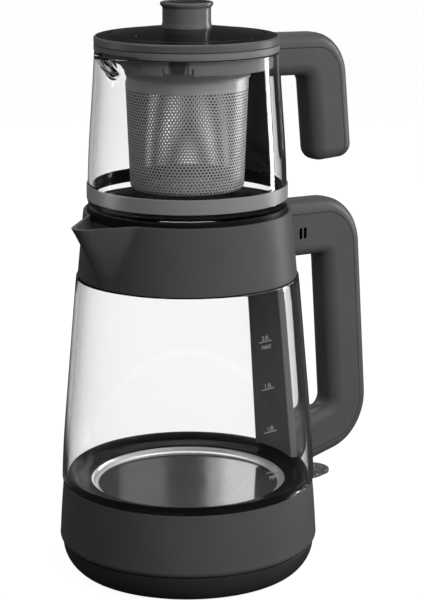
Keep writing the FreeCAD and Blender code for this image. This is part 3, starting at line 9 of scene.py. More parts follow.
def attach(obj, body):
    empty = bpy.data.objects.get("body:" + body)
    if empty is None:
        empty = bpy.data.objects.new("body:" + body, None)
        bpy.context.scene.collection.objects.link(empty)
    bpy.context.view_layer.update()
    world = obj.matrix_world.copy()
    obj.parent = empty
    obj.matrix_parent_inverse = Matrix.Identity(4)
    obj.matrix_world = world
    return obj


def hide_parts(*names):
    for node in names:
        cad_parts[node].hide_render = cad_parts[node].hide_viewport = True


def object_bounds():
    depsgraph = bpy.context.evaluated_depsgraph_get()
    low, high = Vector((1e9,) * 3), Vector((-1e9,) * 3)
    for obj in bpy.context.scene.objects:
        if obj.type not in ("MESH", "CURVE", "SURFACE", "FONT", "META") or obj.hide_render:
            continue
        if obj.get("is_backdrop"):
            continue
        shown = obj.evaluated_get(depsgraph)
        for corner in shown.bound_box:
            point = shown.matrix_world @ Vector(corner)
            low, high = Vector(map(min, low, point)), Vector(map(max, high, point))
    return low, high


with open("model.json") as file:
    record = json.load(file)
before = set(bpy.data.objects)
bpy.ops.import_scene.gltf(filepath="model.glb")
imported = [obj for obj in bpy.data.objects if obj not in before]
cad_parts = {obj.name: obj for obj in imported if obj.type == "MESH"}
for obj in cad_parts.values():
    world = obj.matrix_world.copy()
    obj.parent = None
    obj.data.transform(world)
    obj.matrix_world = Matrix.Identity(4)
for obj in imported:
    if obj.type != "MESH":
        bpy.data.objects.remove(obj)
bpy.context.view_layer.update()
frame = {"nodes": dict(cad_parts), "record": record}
mm = 0.001
print("frame loaded")


def linearRgb(hexText):
    # sRGB hex to the linear values that shaders take
    values = [int(hexText[i:i + 2], 16) / 255 for i in (1, 3, 5)]
    return tuple(v / 12.92 if v <= 0.04045 else ((v + 0.055) / 1.055) ** 2.4 for v in values) + (1.0,)


def addNode(tree, kind, inputs=(), **settings):
    # inputs: a list in socket order, or a dictionary by socket name or number; each is a value, an output
    # socket, or a node whose first output is linked
    node = tree.nodes.new(kind)
    for key, value in settings.items():
        setattr(node, key, value)
    for key, value in (inputs.items() if isinstance(inputs, dict) else enumerate(inputs)):
        if isinstance(value, bpy.types.Node):
            value = value.outputs[0]
        if isinstance(value, bpy.types.NodeSocket):
            tree.links.new(value, node.inputs[key])
        else:
            node.inputs[key].default_value = value
    return node


def newMaterial(name):
    material = bpy.data.materials.new(name)
    material.use_nodes = True
    material.node_tree.nodes.clear()
    return material, material.node_tree


def mouldedPlastic(name, colours, rough, grainMm, depthMm, specular=0.5):
    # spark-eroded mould texture: faint cloudiness in colour, over a fine pebble grain that varies the sheen
    cloudMm, plasticIor = 28.0, 1.49
    material, tree = newMaterial(name)
    point = addNode(tree, "ShaderNodeTexCoord").outputs["Object"]
    cloud = addNode(tree, "ShaderNodeTexNoise", {"Vector": point, "Scale": 1000.0 / cloudMm, "Detail": 3.0})
    pebble = addNode(tree, "ShaderNodeTexNoise", {"Vector": point, "Scale": 1000.0 / grainMm,
                                                  "Roughness": 0.6})
    tint = addNode(tree, "ShaderNodeMapRange", (cloud, 0.3, 0.7))
    colour = addNode(tree, "ShaderNodeMix", {0: tint, 6: linearRgb(colours[0]), 7: linearRgb(colours[1])},
                     data_type="RGBA").outputs[2]
    shader = addNode(tree, "ShaderNodeBsdfPrincipled", {
        "Base Color": colour, "Roughness": addNode(tree, "ShaderNodeMapRange", (pebble, 0.3, 0.7, *rough)),
        "Specular IOR Level": specular, "IOR": plasticIor,
        "Normal": addNode(tree, "ShaderNodeBump", {"Height": pebble, "Distance": depthMm * mm})})
    addNode(tree, "ShaderNodeOutputMaterial", (shader,))
    return material


def clearGlass(name, colours, edgeFrom, ior, specular):
    # borosilicate: clear face on, and painted shade, grey, where the eye looks along the wall
    waveMm, waveDepthMm = 60.0, 0.01
    material, tree = newMaterial(name)
    point = addNode(tree, "ShaderNodeTexCoord").outputs["Object"]
    wave = addNode(tree, "ShaderNodeTexNoise", {"Vector": point, "Scale": 1000.0 / waveMm, "Detail": 1.0})
    facing = addNode(tree, "ShaderNodeLayerWeight", {"Blend": 0.5}).outputs["Facing"]
    along = addNode(tree, "ShaderNodeMapRange", (facing, edgeFrom, 1.0), interpolation_type="SMOOTHERSTEP")
    colour = addNode(tree, "ShaderNodeMix", {0: along, 6: linearRgb(colours[0]), 7: linearRgb(colours[1])},
                     data_type="RGBA").outputs[2]
    glass = addNode(tree, "ShaderNodeBsdfPrincipled", {
        "Base Color": colour, "Roughness": 0.0, "IOR": ior, "Specular IOR Level": specular,
        "Transmission Weight": 1.0, "Normal": addNode(tree, "ShaderNodeBump", {
            "Height": wave, "Distance": waveDepthMm * mm, "Strength": 0.3})})
    clear = addNode(tree, "ShaderNodeBsdfTransparent", {"Color": linearRgb("#ffffff")})
    shadow = addNode(tree, "ShaderNodeLightPath").outputs["Is Shadow Ray"]
    addNode(tree, "ShaderNodeOutputMaterial", (addNode(tree, "ShaderNodeMixShader", (shadow, glass, clear)),))
    return material


def brushedSteel(name, colours, acrossMm, along, rough, anisotropic=0.0, metallic=1.0):
    # brushed round the axis: hairlines that follow the turn, drawn in the angle, the height and the radius
    scratchDepthMm = 0.0015
    material, tree = newMaterial(name)
    point = addNode(tree, "ShaderNodeTexCoord").outputs["Object"]
    split = addNode(tree, "ShaderNodeSeparateXYZ", (point,)).outputs
    angle = addNode(tree, "ShaderNodeMath", (split[1], split[0]), operation="ARCTAN2")
    level = addNode(tree, "ShaderNodeVectorMath", (point, (1, 1, 0)), operation="MULTIPLY")
    radius = addNode(tree, "ShaderNodeVectorMath", (level,), operation="LENGTH").outputs["Value"]
    turnPoint = addNode(tree, "ShaderNodeCombineXYZ", (angle, split[2], radius))
    stretched = addNode(tree, "ShaderNodeMapping", {0: turnPoint,
                                                    "Scale": (along, 1000.0 / acrossMm, 1000.0 / acrossMm)})
    lines = addNode(tree, "ShaderNodeTexNoise", {"Vector": stretched, "Scale": 1.0, "Detail": 3.0,
                                                 "Roughness": 0.65})
    tint = addNode(tree, "ShaderNodeMapRange", (lines, 0.35, 0.65))
    colour = addNode(tree, "ShaderNodeMix", {0: tint, 6: linearRgb(colours[1]), 7: linearRgb(colours[0])},
                     data_type="RGBA").outputs[2]
    shader = addNode(tree, "ShaderNodeBsdfPrincipled", {
        "Base Color": colour, "Metallic": metallic, "Anisotropic": anisotropic,
        "Roughness": addNode(tree, "ShaderNodeMapRange", (lines, 0.3, 0.7, *rough)),
        "Tangent": addNode(tree, "ShaderNodeTangent", direction_type="RADIAL", axis="Z"),
        "Normal": addNode(tree, "ShaderNodeBump", {"Height": lines, "Distance": scratchDepthMm * mm,
                                                   "Strength": 0.4})})
    addNode(tree, "ShaderNodeOutputMaterial", (shader,))
    return material


def smokedPaddle(name, colours, grainMm, depthMm, rough, ior, clearShare):
    # smoked polycarbonate of the switch paddle: lets some light through, with bright specks inside that are
    # painted glints
    material, tree = newMaterial(name)
    point = addNode(tree, "ShaderNodeTexCoord").outputs["Object"]
    paintedGlint = addNode(tree, "ShaderNodeTexNoise", {"Vector": point, "Scale": 1000.0 / grainMm, "Detail": 3.0,
                                                 "Roughness": 0.7})
    tint = addNode(tree, "ShaderNodeMapRange", (paintedGlint, 0.40, 0.65))
    colour = addNode(tree, "ShaderNodeMix", {0: tint, 6: linearRgb(colours[0]), 7: linearRgb(colours[1])},
                     data_type="RGBA").outputs[2]
    shader = addNode(tree, "ShaderNodeBsdfPrincipled", {
        "Base Color": colour, "Roughness": rough, "IOR": ior, "Transmission Weight": clearShare,
        "Normal": addNode(tree, "ShaderNodeBump", {"Height": paintedGlint, "Distance": depthMm * mm})})
    addNode(tree, "ShaderNodeOutputMaterial", (shader,))
    return material


# satin ABS, the pale fleck of its mould grain gives a soft broad highlight
satinGrey = mouldedPlastic("satinGreyAbs", ("#4c4c4c", "#505050"), rough=(0.38, 0.48), grainMm=0.7,
                           depthMm=0.006)
# the same ABS on the lid's side, a shade paler
lidGrey = mouldedPlastic("paleGreyAbs", ("#575757", "#5c5c5c"), rough=(0.36, 0.46), grainMm=0.7,
                         depthMm=0.005)
# fine matte ABS of the power base, a little darker and duller
darkBase = mouldedPlastic("matteDarkAbs", ("#2d2d2d", "#313131"), rough=(0.42, 0.52), grainMm=0.7,
                          depthMm=0.006, specular=0.4)
# semi-gloss black polypropylene of rings and fittings
blackPlastic = mouldedPlastic("semiGlossBlackPp", ("#080808", "#0b0b0b"), rough=(0.16, 0.22), grainMm=1.2,
                              depthMm=0.002, specular=0.12)
# satin black polypropylene of the seat ring, with a broad dull highlight
satinBlack = mouldedPlastic("satinBlackPp", ("#121212", "#161616"), rough=(0.32, 0.40), grainMm=1.0,
                            depthMm=0.003, specular=0.25)
# polished black face of the lid, mirrors the knob
lidGloss = mouldedPlastic("polishedBlackAbs", ("#101010", "#131313"), rough=(0.06, 0.09), grainMm=1.5,
                          depthMm=0.001, specular=0.12)
# mid-grey gloss of the knob, and the satin neck ring, a shade paler than the other parts
knobGrey = mouldedPlastic("glossGreyAbs", ("#606060", "#666666"), rough=(0.20, 0.28), grainMm=1.0,
                          depthMm=0.002)
neckGrey = mouldedPlastic("paleSatinAbs", ("#707070", "#767676"), rough=(0.36, 0.46), grainMm=0.7,
                          depthMm=0.004)
# smoked copolyester of the strap, smooth and dark, and of the steam duct, which looks paler behind the glass:
# the duct's paler colour is painted light for the dim light that reaches it there
smokedPlastic = mouldedPlastic("smokedCopolyester", ("#343434", "#383838"), rough=(0.16, 0.22), grainMm=1.5,
                               depthMm=0.001, specular=0.25)
ductPlastic = mouldedPlastic("paleSmokedCopolyester", ("#747474", "#7a7a7a"), rough=(0.16, 0.22), grainMm=1.5,
                             depthMm=0.001, specular=0.25)
# soft seals and feet: dull, with no clear highlight
siliconeSeal = mouldedPlastic("siliconeRubber", ("#101010", "#151515"), rough=(0.45, 0.60), grainMm=1.0,
                              depthMm=0.008)
footRubber = mouldedPlastic("footRubber", ("#101010", "#161616"), rough=(0.75, 0.90), grainMm=0.6,
                            depthMm=0.020, specular=0.3)
# smooth amber lens of the indicator lamp
lampLens = mouldedPlastic("lampLens", ("#8a3a20", "#9a4426"), rough=(0.12, 0.20), grainMm=1.5, depthMm=0.003)
# grey ink of the level marks, dull on the clear glass
printGrey = mouldedPlastic("paleScreenInk", ("#8c8c8c", "#969696"), rough=(0.45, 0.60), grainMm=0.5,
                           depthMm=0.004)
# clear borosilicate; painted shade: grey gathers in the edges
glassMaterial = clearGlass("borosilicateGlass", ("#ffffff", "#383838"), edgeFrom=0.80, ior=1.474,
                           specular=0.3)
# stainless brushed round the band, with fine hairlines
bandSteel = brushedSteel("brushedStainlessBand", ("#bababa", "#b0b0b0"), acrossMm=0.6, along=2.0,
                         rough=(0.30, 0.36), anisotropic=0.5, metallic=0.55)
# stainless sheet of the infuser, softly brushed
infuserSteel = brushedSteel("brushedStainlessSheet", ("#cacaca", "#bebebe"), acrossMm=0.8, along=2.0,
                            rough=(0.28, 0.34), anisotropic=0.4, metallic=0.45)
# the same sheet darkened inside the basket and on the hole edges: painted shade for the holes
paintedShadeSteel = brushedSteel("tannedStainlessSheet", ("#1e1d1c", "#191817"), acrossMm=0.8, along=2.0,
                           rough=(0.40, 0.50), anisotropic=0.2, metallic=0.7)
# turned and polished stainless heating plate: rings round its centre
plateSteel = brushedSteel("turnedStainlessPlate", ("#b8b8b8", "#acacac"), acrossMm=0.8, along=1.0,
                          rough=(0.08, 0.11), anisotropic=0.5, metallic=0.95)
# the plate's raised edge, paler and less metallic than the plate: a painted highlight, besides its real gloss
rimSteel = brushedSteel("spunStainlessEdge", ("#f2f2f2", "#e6e6e6"), acrossMm=0.8, along=1.0,
                        rough=(0.12, 0.16), anisotropic=0.3, metallic=0.5)
# inner fittings: dull plated screws, brass contacts, and the rough cast heat spreader
screwSteel = brushedSteel("zincPlatedSteel", ("#b4b4b0", "#94948f"), acrossMm=1.0, along=3.0,
                          rough=(0.30, 0.42))
contactBrass = brushedSteel("contactBrass", ("#d8b878", "#b8965a"), acrossMm=1.0, along=3.0,
                            rough=(0.28, 0.40))
castAluminium = brushedSteel("castAluminium", ("#b8b8ba", "#98989a"), acrossMm=2.5, along=8.0,
                             rough=(0.40, 0.60))
# smoky switch paddle, with bright specks as painted glints
leverPlastic = smokedPaddle("smokedPolycarbonate", ("#4c4c4c", "#a0a0a0"), grainMm=2.2, depthMm=0.01,
                            rough=0.12, ior=1.58, clearShare=0.45)

slotMaterials = {
    "satin_grey_plastic": satinGrey, "dark_base_plastic": darkBase, "black_plastic": blackPlastic,
    "smoked_plastic": smokedPlastic, "lever_plastic": leverPlastic, "clear_glass": glassMaterial,
    "brushed_band": bandSteel, "infuser_steel": infuserSteel, "polished_steel": plateSteel,
    "screw_steel": screwSteel, "contact_brass": contactBrass, "cast_aluminium": castAluminium,
    "silicone_seal": siliconeSeal, "foot_rubber": footRubber, "lamp_lens": lampLens,
}
nodeSlots = {row["node"]: row["material_slot"] for row in frame["record"]["subparts"]}
nodeBodies = {node: body for body, nodes in frame["record"]["behaviour"]["bodies"].items() for node in nodes}
for nodeName, nodeObject in frame["nodes"].items():
    nodeObject.data.materials.clear()
    nodeObject.data.materials.append(slotMaterials[nodeSlots[nodeName]])
print("materials made")


def arcThrough(start, via, end, stepDegrees=6.0):
    # points after start on the circle through all three
    (ax, az), (bx, bz), (cx, cz) = start, via, end
    d = 2 * (ax * (bz - cz) + bx * (cz - az) + cx * (az - bz))
    a2, b2, c2 = ax * ax + az * az, bx * bx + bz * bz, cx * cx + cz * cz
    ux = (a2 * (bz - cz) + b2 * (cz - az) + c2 * (az - bz)) / d
    uz = (a2 * (cx - bx) + b2 * (ax - cx) + c2 * (bx - ax)) / d
    radius = math.hypot(ax - ux, az - uz)
    first = math.atan2(az - uz, ax - ux)
    middle = (math.atan2(bz - uz, bx - ux) - first) % math.tau
    sweep = (math.atan2(cz - uz, cx - ux) - first) % math.tau
    if middle > sweep:
        sweep -= math.tau
    count = max(3, math.ceil(abs(math.degrees(sweep)) / stepDegrees))
    turns = [first + sweep * i / count for i in range(1, count + 1)]
    return [(ux + radius * math.cos(turn), uz + radius * math.sin(turn)) for turn in turns]


def closedSection(steps, rounding=0.3):
    # steps: (x, z) corner; (x, z, rounding) corner; (viaX, viaZ, x, z) arc from the last point to a corner
    straightTurn, sharpTurn, reachShare = math.radians(9), math.radians(40), 0.45
    corners = []
    for step in steps:
        if len(step) == 4:
            points = arcThrough(corners[-1][:2], step[:2], step[2:])
            corners += [(x, z, 0.0) for x, z in points[:-1]] + [(*points[-1], rounding)]
        else:
            corners.append((step[0], step[1], step[2] if len(step) == 3 else rounding))
    soft = []
    count = len(corners)
    for i, (x, z, reach) in enumerate(corners):
        here = Vector((x, z))
        before = Vector(corners[i - 1][:2]) - here
        after = Vector(corners[(i + 1) % count][:2]) - here
        turn = math.pi - before.angle(after, math.pi)
        if reach <= 0 or turn < straightTurn or abs(x) < 1e-6:
            soft.append((x, z))
            continue
        reach = min(reach, reachShare * before.length, reachShare * after.length)
        one, two = here + before.normalized() * reach, here + after.normalized() * reach
        pieces = 4 if turn > sharpTurn else 2
        for k in range(pieces + 1):
            t = k / pieces
            soft.append(tuple((1 - t) ** 2 * one + 2 * t * (1 - t) * here + t * t * two))
    return soft


def meshFrom(name, points, faces):
    mesh = bpy.data.meshes.new(name)
    mesh.from_pydata([(x * mm, y * mm, z * mm) for x, y, z in points], [], faces)
    mesh.validate()
    return mesh


def facesBetween(one, two, closed=True):
    # quads between two rows of point numbers; a row that is one point over and over gives triangles
    width = len(one)
    faces = []
    for k in range(width if closed else width - 1):
        face = list(dict.fromkeys([one[k], one[(k + 1) % width], two[(k + 1) % width], two[k]]))
        if len(face) > 2:
            faces.append(face)
    return faces


def stacked(rings):
    # points and faces of a closed body through rings of as many points each, capped at both ends
    width = len(rings[0])
    rows = [list(range(j * width, (j + 1) * width)) for j in range(len(rings))]
    faces = [face for one, two in zip(rows, rows[1:]) for face in facesBetween(one, two)]
    return [point for ring in rings for point in ring], faces + [rows[0], rows[-1]]


def turned(name, section, columns=180, angles=None, shape=None):
    # turns a closed section (radius, height) round the axis; shape may change radius and height per angle
    full = angles is None or abs(angles[-1] - angles[0]) >= 359.999
    if angles is None:
        angles = [360.0 * i / columns for i in range(columns)]
    elif full:
        angles = angles[:-1]
    points, rows = [], []
    for radius, height in section:
        if radius < 1e-6:
            points.append((0.0, 0.0, height))
            rows.append([len(points) - 1] * len(angles))
            continue
        row = []
        for degrees in angles:
            turn = math.radians(degrees)
            r, z = shape(degrees, radius, height) if shape else (radius, height)
            points.append((r * math.cos(turn), r * math.sin(turn), z))
            row.append(len(points) - 1)
        rows.append(row)
    faces = []
    for j in range(len(section)):
        faces += facesBetween(rows[j], rows[(j + 1) % len(section)], full)
    if not full:
        faces.append([row[0] for row in rows])
        faces.append([row[-1] for row in rows][::-1])
    return meshFrom(name, points, faces)


def evaluated(piece):
    # the object's mesh with its modifiers applied, and the modifiers removed
    bpy.context.view_layer.update()
    mesh = bpy.data.meshes.new_from_object(piece.evaluated_get(bpy.context.evaluated_depsgraph_get()))
    piece.modifiers.clear()
    old, piece.data = piece.data, mesh
    bpy.data.meshes.remove(old)
    return piece


def objectFrom(name, mesh):
    piece = bpy.data.objects.new(name, mesh)
    bpy.context.scene.collection.objects.link(piece)
    return piece


def outward(mesh, merge=1e-6):
    work = bmesh.new()
    work.from_mesh(mesh)
    bmesh.ops.remove_doubles(work, verts=work.verts, dist=merge)
    bmesh.ops.recalc_face_normals(work, faces=work.faces)
    work.to_mesh(mesh)
    work.free()
    return mesh


def carve(piece, *steps):
    # exact Booleans one after another: (operation, tool mesh)
    for operation, tool in steps:
        helper = objectFrom("tool", outward(tool))
        modifier = piece.modifiers.new("carve", "BOOLEAN")
        modifier.operation, modifier.solver, modifier.object = operation, "EXACT", helper
        evaluated(piece)
        bpy.data.objects.remove(helper)
    return piece


def shaded(piece, sharpDegrees=32.0):
    # smooth faces, sharp edges kept, and normals weighted so that flats stay flat
    piece.data.shade_smooth()
    piece.data.set_sharp_from_angle(angle=math.radians(sharpDegrees))
    modifier = piece.modifiers.new("weighted", "WEIGHTED_NORMAL")
    modifier.keep_sharp = True
    return evaluated(piece)


def seat(piece, material, node, sharpDegrees=32.0, replace=True):
    # gives a finished mesh its material and body; it stands for the CAD node of that name
    if not piece.data.materials:
        piece.data.materials.append(material)
    shaded(piece, sharpDegrees)
    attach(piece, nodeBodies[node])
    if replace:
        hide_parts(node)
    return piece


def turnedBody(name, values):
    # a piece turned from the section, rounding and number of columns in its dictionary
    section = closedSection(values["section"], values["rounding"])
    return objectFrom(name, outward(turned(name, section, values["columns"])))


def turnedPiece(name, node, values, material=None):
    return seat(turnedBody(name, values), material or slotMaterials[nodeSlots[node]], node)


def laidAlongY(mesh, x, z):
    # a mesh that was turned about Z, laid along Y at x and z
    mesh.transform(Matrix.Translation((x * mm, 0, z * mm)) @ Matrix.Rotation(math.radians(-90), 4, "X"))
    return mesh


def cylinderAlongY(radius, y0, y1, x, z, columns=48):
    section = closedSection([(0, y0), (radius, y0), (radius, y1), (0, y1)], 0)
    return laidAlongY(turned("rod", section, columns), x, z)


def boxMesh(x0, x1, y0, y1, z0, z1):
    corners = [(x, y, z) for x in (x0, x1) for y in (y0, y1) for z in (z0, z1)]
    faces = [(0, 1, 3, 2), (4, 6, 7, 5), (0, 4, 5, 1), (2, 3, 7, 6), (0, 2, 6, 4), (1, 5, 7, 3)]
    return meshFrom("box", corners, faces)


def fitted(points):
    # smooth radius over height through the given points
    return np.poly1d(np.polyfit([z for _, z in points], [r for r, _ in points], len(points) - 1))


# power base: rounded tub, deck and the turning connector's tower
baseShell = {"section": [(74.5, 1.3, 0.6), (80.6, 8.6, 82.85, 18.3), (81.6, 18.4, 0.1), (81.6, 19.0, 0.1),
                         (80.6, 19.0), (79.6, 17.0), (16.1, 17.0),
                         (16.1, 14.8), (79.0, 14.8), (78.2, 8.6, 72.1, 3.5), (70.6, 3.5), (70.6, 1.3)],
             "rounding": 0.5, "columns": 220,
             "cordHole": (4.5, 68, 95, 0, 9.15)}  # radius, from y to y, x and height
shell = carve(turnedBody("baseShell", baseShell), ("DIFFERENCE", cylinderAlongY(*baseShell["cordHole"])))
seat(shell, darkBase, "base_shell")

tower = {"section": [(3.6, 12.0), (3.6, 33.0), (6.7, 33.0), (6.7, 22.0), (8.9, 22.0), (8.9, 33.0),
                     (10.9, 33.0), (10.9, 22.0), (13.1, 22.0), (13.1, 33.0), (14.8, 33.0), (16.0, 31.8),
                     (16.0, 5.5), (22.0, 5.5), (22.0, 3.5), (3.6, 3.5)], "rounding": 0.35, "columns": 96}
turnedPiece("connectorTower", "base_connector", tower)

pin = {"section": [(0, 10.0), (3.5, 10.0), (3.5, 35.5, 1.6), (0, 35.5)], "rounding": 0.3, "columns": 48}
turnedPiece("centrePin", "centre_pin", pin)

gland = {"section": [(3.0, 68.0), (4.4, 68.0), (4.4, 70.0), (5.4, 70.0), (5.4, 71.6), (4.4, 71.6),
                     (4.4, 80.8)],
         "grooves": (82.6, 85.0, 87.4), "grooveWidth": 0.8, "radius": 4.4, "grooveRadius": 4.0,
         "end": [(4.4, 90.6, 0.8), (3.0, 90.6)], "height": 9.15, "rounding": 0.2, "columns": 48}
for grooveFrom in gland["grooves"]:
    grooveTo = grooveFrom + gland["grooveWidth"]
    gland["section"] += [(gland["radius"], grooveFrom), (gland["grooveRadius"], grooveFrom),
                         (gland["grooveRadius"], grooveTo), (gland["radius"], grooveTo)]
gland["section"] += gland["end"]
cordGland = turnedBody("cordGland", gland)
laidAlongY(cordGland.data, 0, gland["height"])
seat(cordGland, blackPlastic, "cord_gland")


def newTree(name, *sockets):
    # an empty geometry tree with its named inputs, each given as (name, kind)
    tree = bpy.data.node_groups.new(name, "GeometryNodeTree")
    for label, kind in sockets:
        tree.interface.new_socket(name=label, in_out="INPUT", socket_type="NodeSocket" + kind)
    tree.interface.new_socket(name="Geometry", in_out="OUTPUT", socket_type="NodeSocketGeometry")
    return tree, addNode(tree, "NodeGroupInput").outputs


def finishTree(tree, geometry, material):
    real = addNode(tree, "GeometryNodeRealizeInstances", (geometry,))
    painted = addNode(tree, "GeometryNodeSetMaterial", {"Geometry": real, "Material": material})
    addNode(tree, "NodeGroupOutput", (painted,))
    return tree


def ringOfCopiesTree():
    # copies of the incoming mesh spread evenly round the axis
    tree, given = newTree("ringOfCopies", ("Geometry", "Geometry"), ("Count", "Int"), ("Radius", "Float"),
                          ("First Angle", "Float"), ("Material", "Material"))
    index = addNode(tree, "GeometryNodeInputIndex")
    share = addNode(tree, "ShaderNodeMath", (index, given["Count"]), operation="DIVIDE")
    angle = addNode(tree, "ShaderNodeMath", (share, math.tau, given["First Angle"]), operation="MULTIPLY_ADD")
    cosine = addNode(tree, "ShaderNodeMath", (angle,), operation="COSINE")
    sine = addNode(tree, "ShaderNodeMath", (angle,), operation="SINE")
    direction = addNode(tree, "ShaderNodeCombineXYZ", (cosine, sine))
    place = addNode(tree, "ShaderNodeVectorMath", {0: direction, "Scale": given["Radius"]}, operation="SCALE")
    spots = addNode(tree, "GeometryNodePoints", {"Count": given["Count"], "Position": place})
    turn = addNode(tree, "ShaderNodeCombineXYZ", {2: angle})
    copies = addNode(tree, "GeometryNodeInstanceOnPoints", {"Points": spots, "Instance": given["Geometry"],
                                                            "Rotation": turn})
    return finishTree(tree, copies, given["Material"])


def runTree(piece, tree, **values):
    # values by socket name, set through the socket's identifier
    modifier = piece.modifiers.new(tree.name, "NODES")
    modifier.node_group = tree
    sockets = {item.name: item.identifier for item in tree.interface.items_tree if item.in_out == "INPUT"}
    for key, value in values.items():
        modifier[sockets[key]] = value
    return evaluated(piece)


feet = {"section": [(0, 0), (8.4, 0, 0.9), (9.0, 0.7), (9.0, 2.3), (0, 2.3)], "rounding": 0.3, "columns": 48,
        "count": 4, "circle": 61.0, "firstAngle": 45.0}
foot = turnedBody("baseFeet", feet)
runTree(foot, ringOfCopiesTree(), Count=feet["count"], Radius=feet["circle"] * mm,
        **{"First Angle": math.radians(feet["firstAngle"]), "Material": footRubber})
seat(foot, footRubber, "base_feet")
print("power base made")

# kettle: lower collar with the lever's window
lowerCollar = {"section": [(83.0, 19.3, 0.5), (84.15, 20.6, 84.5, 23.5), (83.4, 41.5, 81.9, 59.5),
                           (79.4, 59.5), (79.4, 57.6), (70.5, 57.6), (70.5, 55.2), (79.4, 55.2),
                           (80.9, 41.5, 82.0, 24.7), (79.4, 23.2), (80.9, 23.2), (80.9, 19.3)],
               "rounding": 0.3, "columns": 220, "window": (75.5, 90.0, 8.5, 31.0, 41.0), "windowRound": 2.0}
x0, x1, half, z0, z1 = lowerCollar["window"]
windowOutline = closedSection([(-half, z0), (half, z0), (half, z1), (-half, z1)], lowerCollar["windowRound"])
windowTool = meshFrom("window", *stacked([[(x, y, z) for y, z in windowOutline] for x in (x0, x1)]))
collar = carve(turnedBody("lowerCollar", lowerCollar), ("DIFFERENCE", windowTool))
seat(collar, satinGrey, "base_collar")

heaterPlate = {"section": [(0, 55.5), (59.0, 55.5, 1.0), (61.8, 56.4, 63.4, 58.4), (74.5, 58.4), (74.5, 57.6),
                           (64.2, 57.6), (62.5, 55.7, 59.0, 54.7), (0, 54.7)],
               "rounding": 0.5, "columns": 220, "brightEdge": (59.2, 63.6)}
plate = turnedBody("heatingPlate", heaterPlate)
plate.data.materials.append(plateSteel)
plate.data.materials.append(rimSteel)
low, high = heaterPlate["brightEdge"]
for face in plate.data.polygons:
    if low < math.hypot(face.center.x, face.center.y) / mm < high:
        # painted highlight: the raised edge takes the paler steel
        face.material_index = 1
seat(plate, plateSteel, "heating_plate")

clampRing = {"section": [(63.8, 58.4), (63.8, 59.6, 0.5), (71.6, 60.85, 0.3), (72.0, 60.9, 0.3),
                         (72.4, 61.5, 0.4), (77.2, 64.2, 78.2, 64.6), (79.2, 64.6, 0.5), (79.2, 60.1),
                         (74.5, 60.1), (74.5, 58.4)],
             "rounding": 0.4, "columns": 220}
turnedPiece("clampRing", "plate_clamp_ring", clampRing)

# the glass: its foot, the fitted wall, and a shoulder over the last of it
kettleGlass = {"foot": [(80.3, 60.1, 0.5), (81.7, 60.1), (82.4, 60.4, 82.7, 61.1)],
               "outer": [(82.7, 61.1), (82.3, 72.0), (79.37, 111.1), (75.43, 154.95), (72.2, 190.5)],
               "shoulder": [(71.7, 195.9, 1.3), (68.9, 195.9, 0.5)], "wallTop": 194.2, "wall": 3.0,
               "rows": 26, "rounding": 0.4, "columns": 240}
kettleRadius = fitted(kettleGlass["outer"])
heights = np.linspace(kettleGlass["outer"][0][1], kettleGlass["wallTop"], kettleGlass["rows"])
kettleGlass["section"] = [*kettleGlass["foot"], *[(kettleRadius(z), z, 0) for z in heights[1:]],
                          *kettleGlass["shoulder"],
                          *[(kettleRadius(z) - kettleGlass["wall"], z, 0) for z in heights[-2::-1]]]
turnedPiece("kettleGlass", "kettle_glass", kettleGlass)
print("kettle body made")


def smoothMax(a, b, width):
    h = max(width - abs(a - b), 0.0) / width
    return max(a, b) + h * h * width / 4


# both beaks: how the nose widens as it rises, the least rise and flank slope, and how far out a flank counts
beakForm = {"noseGrowth": 0.7, "leastRise": 0.02, "leastSlope": 1.05, "flankOver": 1.3, "flankMore": 0.03}


def beakReach(beak, wallRadius, inset, toeZ, topZ):
    # how far a blunt beak at 180 degrees reaches, by angle and height: a nose of some width and two flanks
    # that meet the wall along a bowed line
    def reach(degrees, z):
        rise = min(max((z - toeZ) / (topZ - toeZ), 0.0), 1.0)
        wallHere = wallRadius(z)
        nose = wallRadius(toeZ) + (beak["tip"] - wallRadius(toeZ)) * rise - inset
        half = math.radians(beak["halfAngle"]) * max(rise, beakForm["leastRise"]) ** beak["bow"]
        noseHalf = beak["noseHalf"] * rise ** beakForm["noseGrowth"]
        slope = (nose - wallHere * math.cos(half)) / max(wallHere * math.sin(half) - noseHalf, 1.0)
        slope = max(slope, beakForm["leastSlope"] * math.tan(half))
        off = math.radians(abs(degrees - 180))
        if off > beakForm["flankOver"] * half + beakForm["flankMore"]:
            return 0.0
        flank = (nose + noseHalf * slope) / (math.cos(off) + slope * math.sin(off))
        return -smoothMax(-flank, -nose / math.cos(off), beak["noseRound"])
    return reach


# columns stand closer on the side of the beaks
fineAngles = sorted({round(a, 3) for a in (*np.arange(0, 360.01, 2.0), *np.arange(140, 220.01, 0.5))})

# kettle: upper collar that grows into the spout
upperCollar = {"waist": (70.7, 196.5), "mouth": (66.5, 238.6), "wall": 2.4, "spoutWall": 4.0, "rows": 22,
               "crease": 1.4, "noseDrop": 1.6, "dropPower": 6, "spoutSpan": 80, "skin": 1.05,
               "foot": [(68.05, 199.0), (66.5, 199.0), (66.5, 194.8), (68.3, 194.8), (68.3, 196.5)],
               "ledge": [(60.5, 232.2), (65.3, 232.2), (65.3, 235.2), (60.5, 235.2)], "ledgeHalfAngle": 154,
               "beak": {"tip": 91.2, "halfAngle": 21.4, "bow": 0.62, "noseHalf": 4.6, "noseRound": 5.0}}
waist, mouth, wall = upperCollar["waist"], upperCollar["mouth"], upperCollar["wall"]
fall = (mouth[0] - waist[0]) / (mouth[1] - waist[1])


def collarCone(z):
    return waist[0] + fall * (z - waist[1])


outerReach = beakReach(upperCollar["beak"], collarCone, 0, waist[1], mouth[1])
innerReach = beakReach(upperCollar["beak"], lambda z: collarCone(z) - wall, upperCollar["spoutWall"],
                       waist[1], mouth[1])


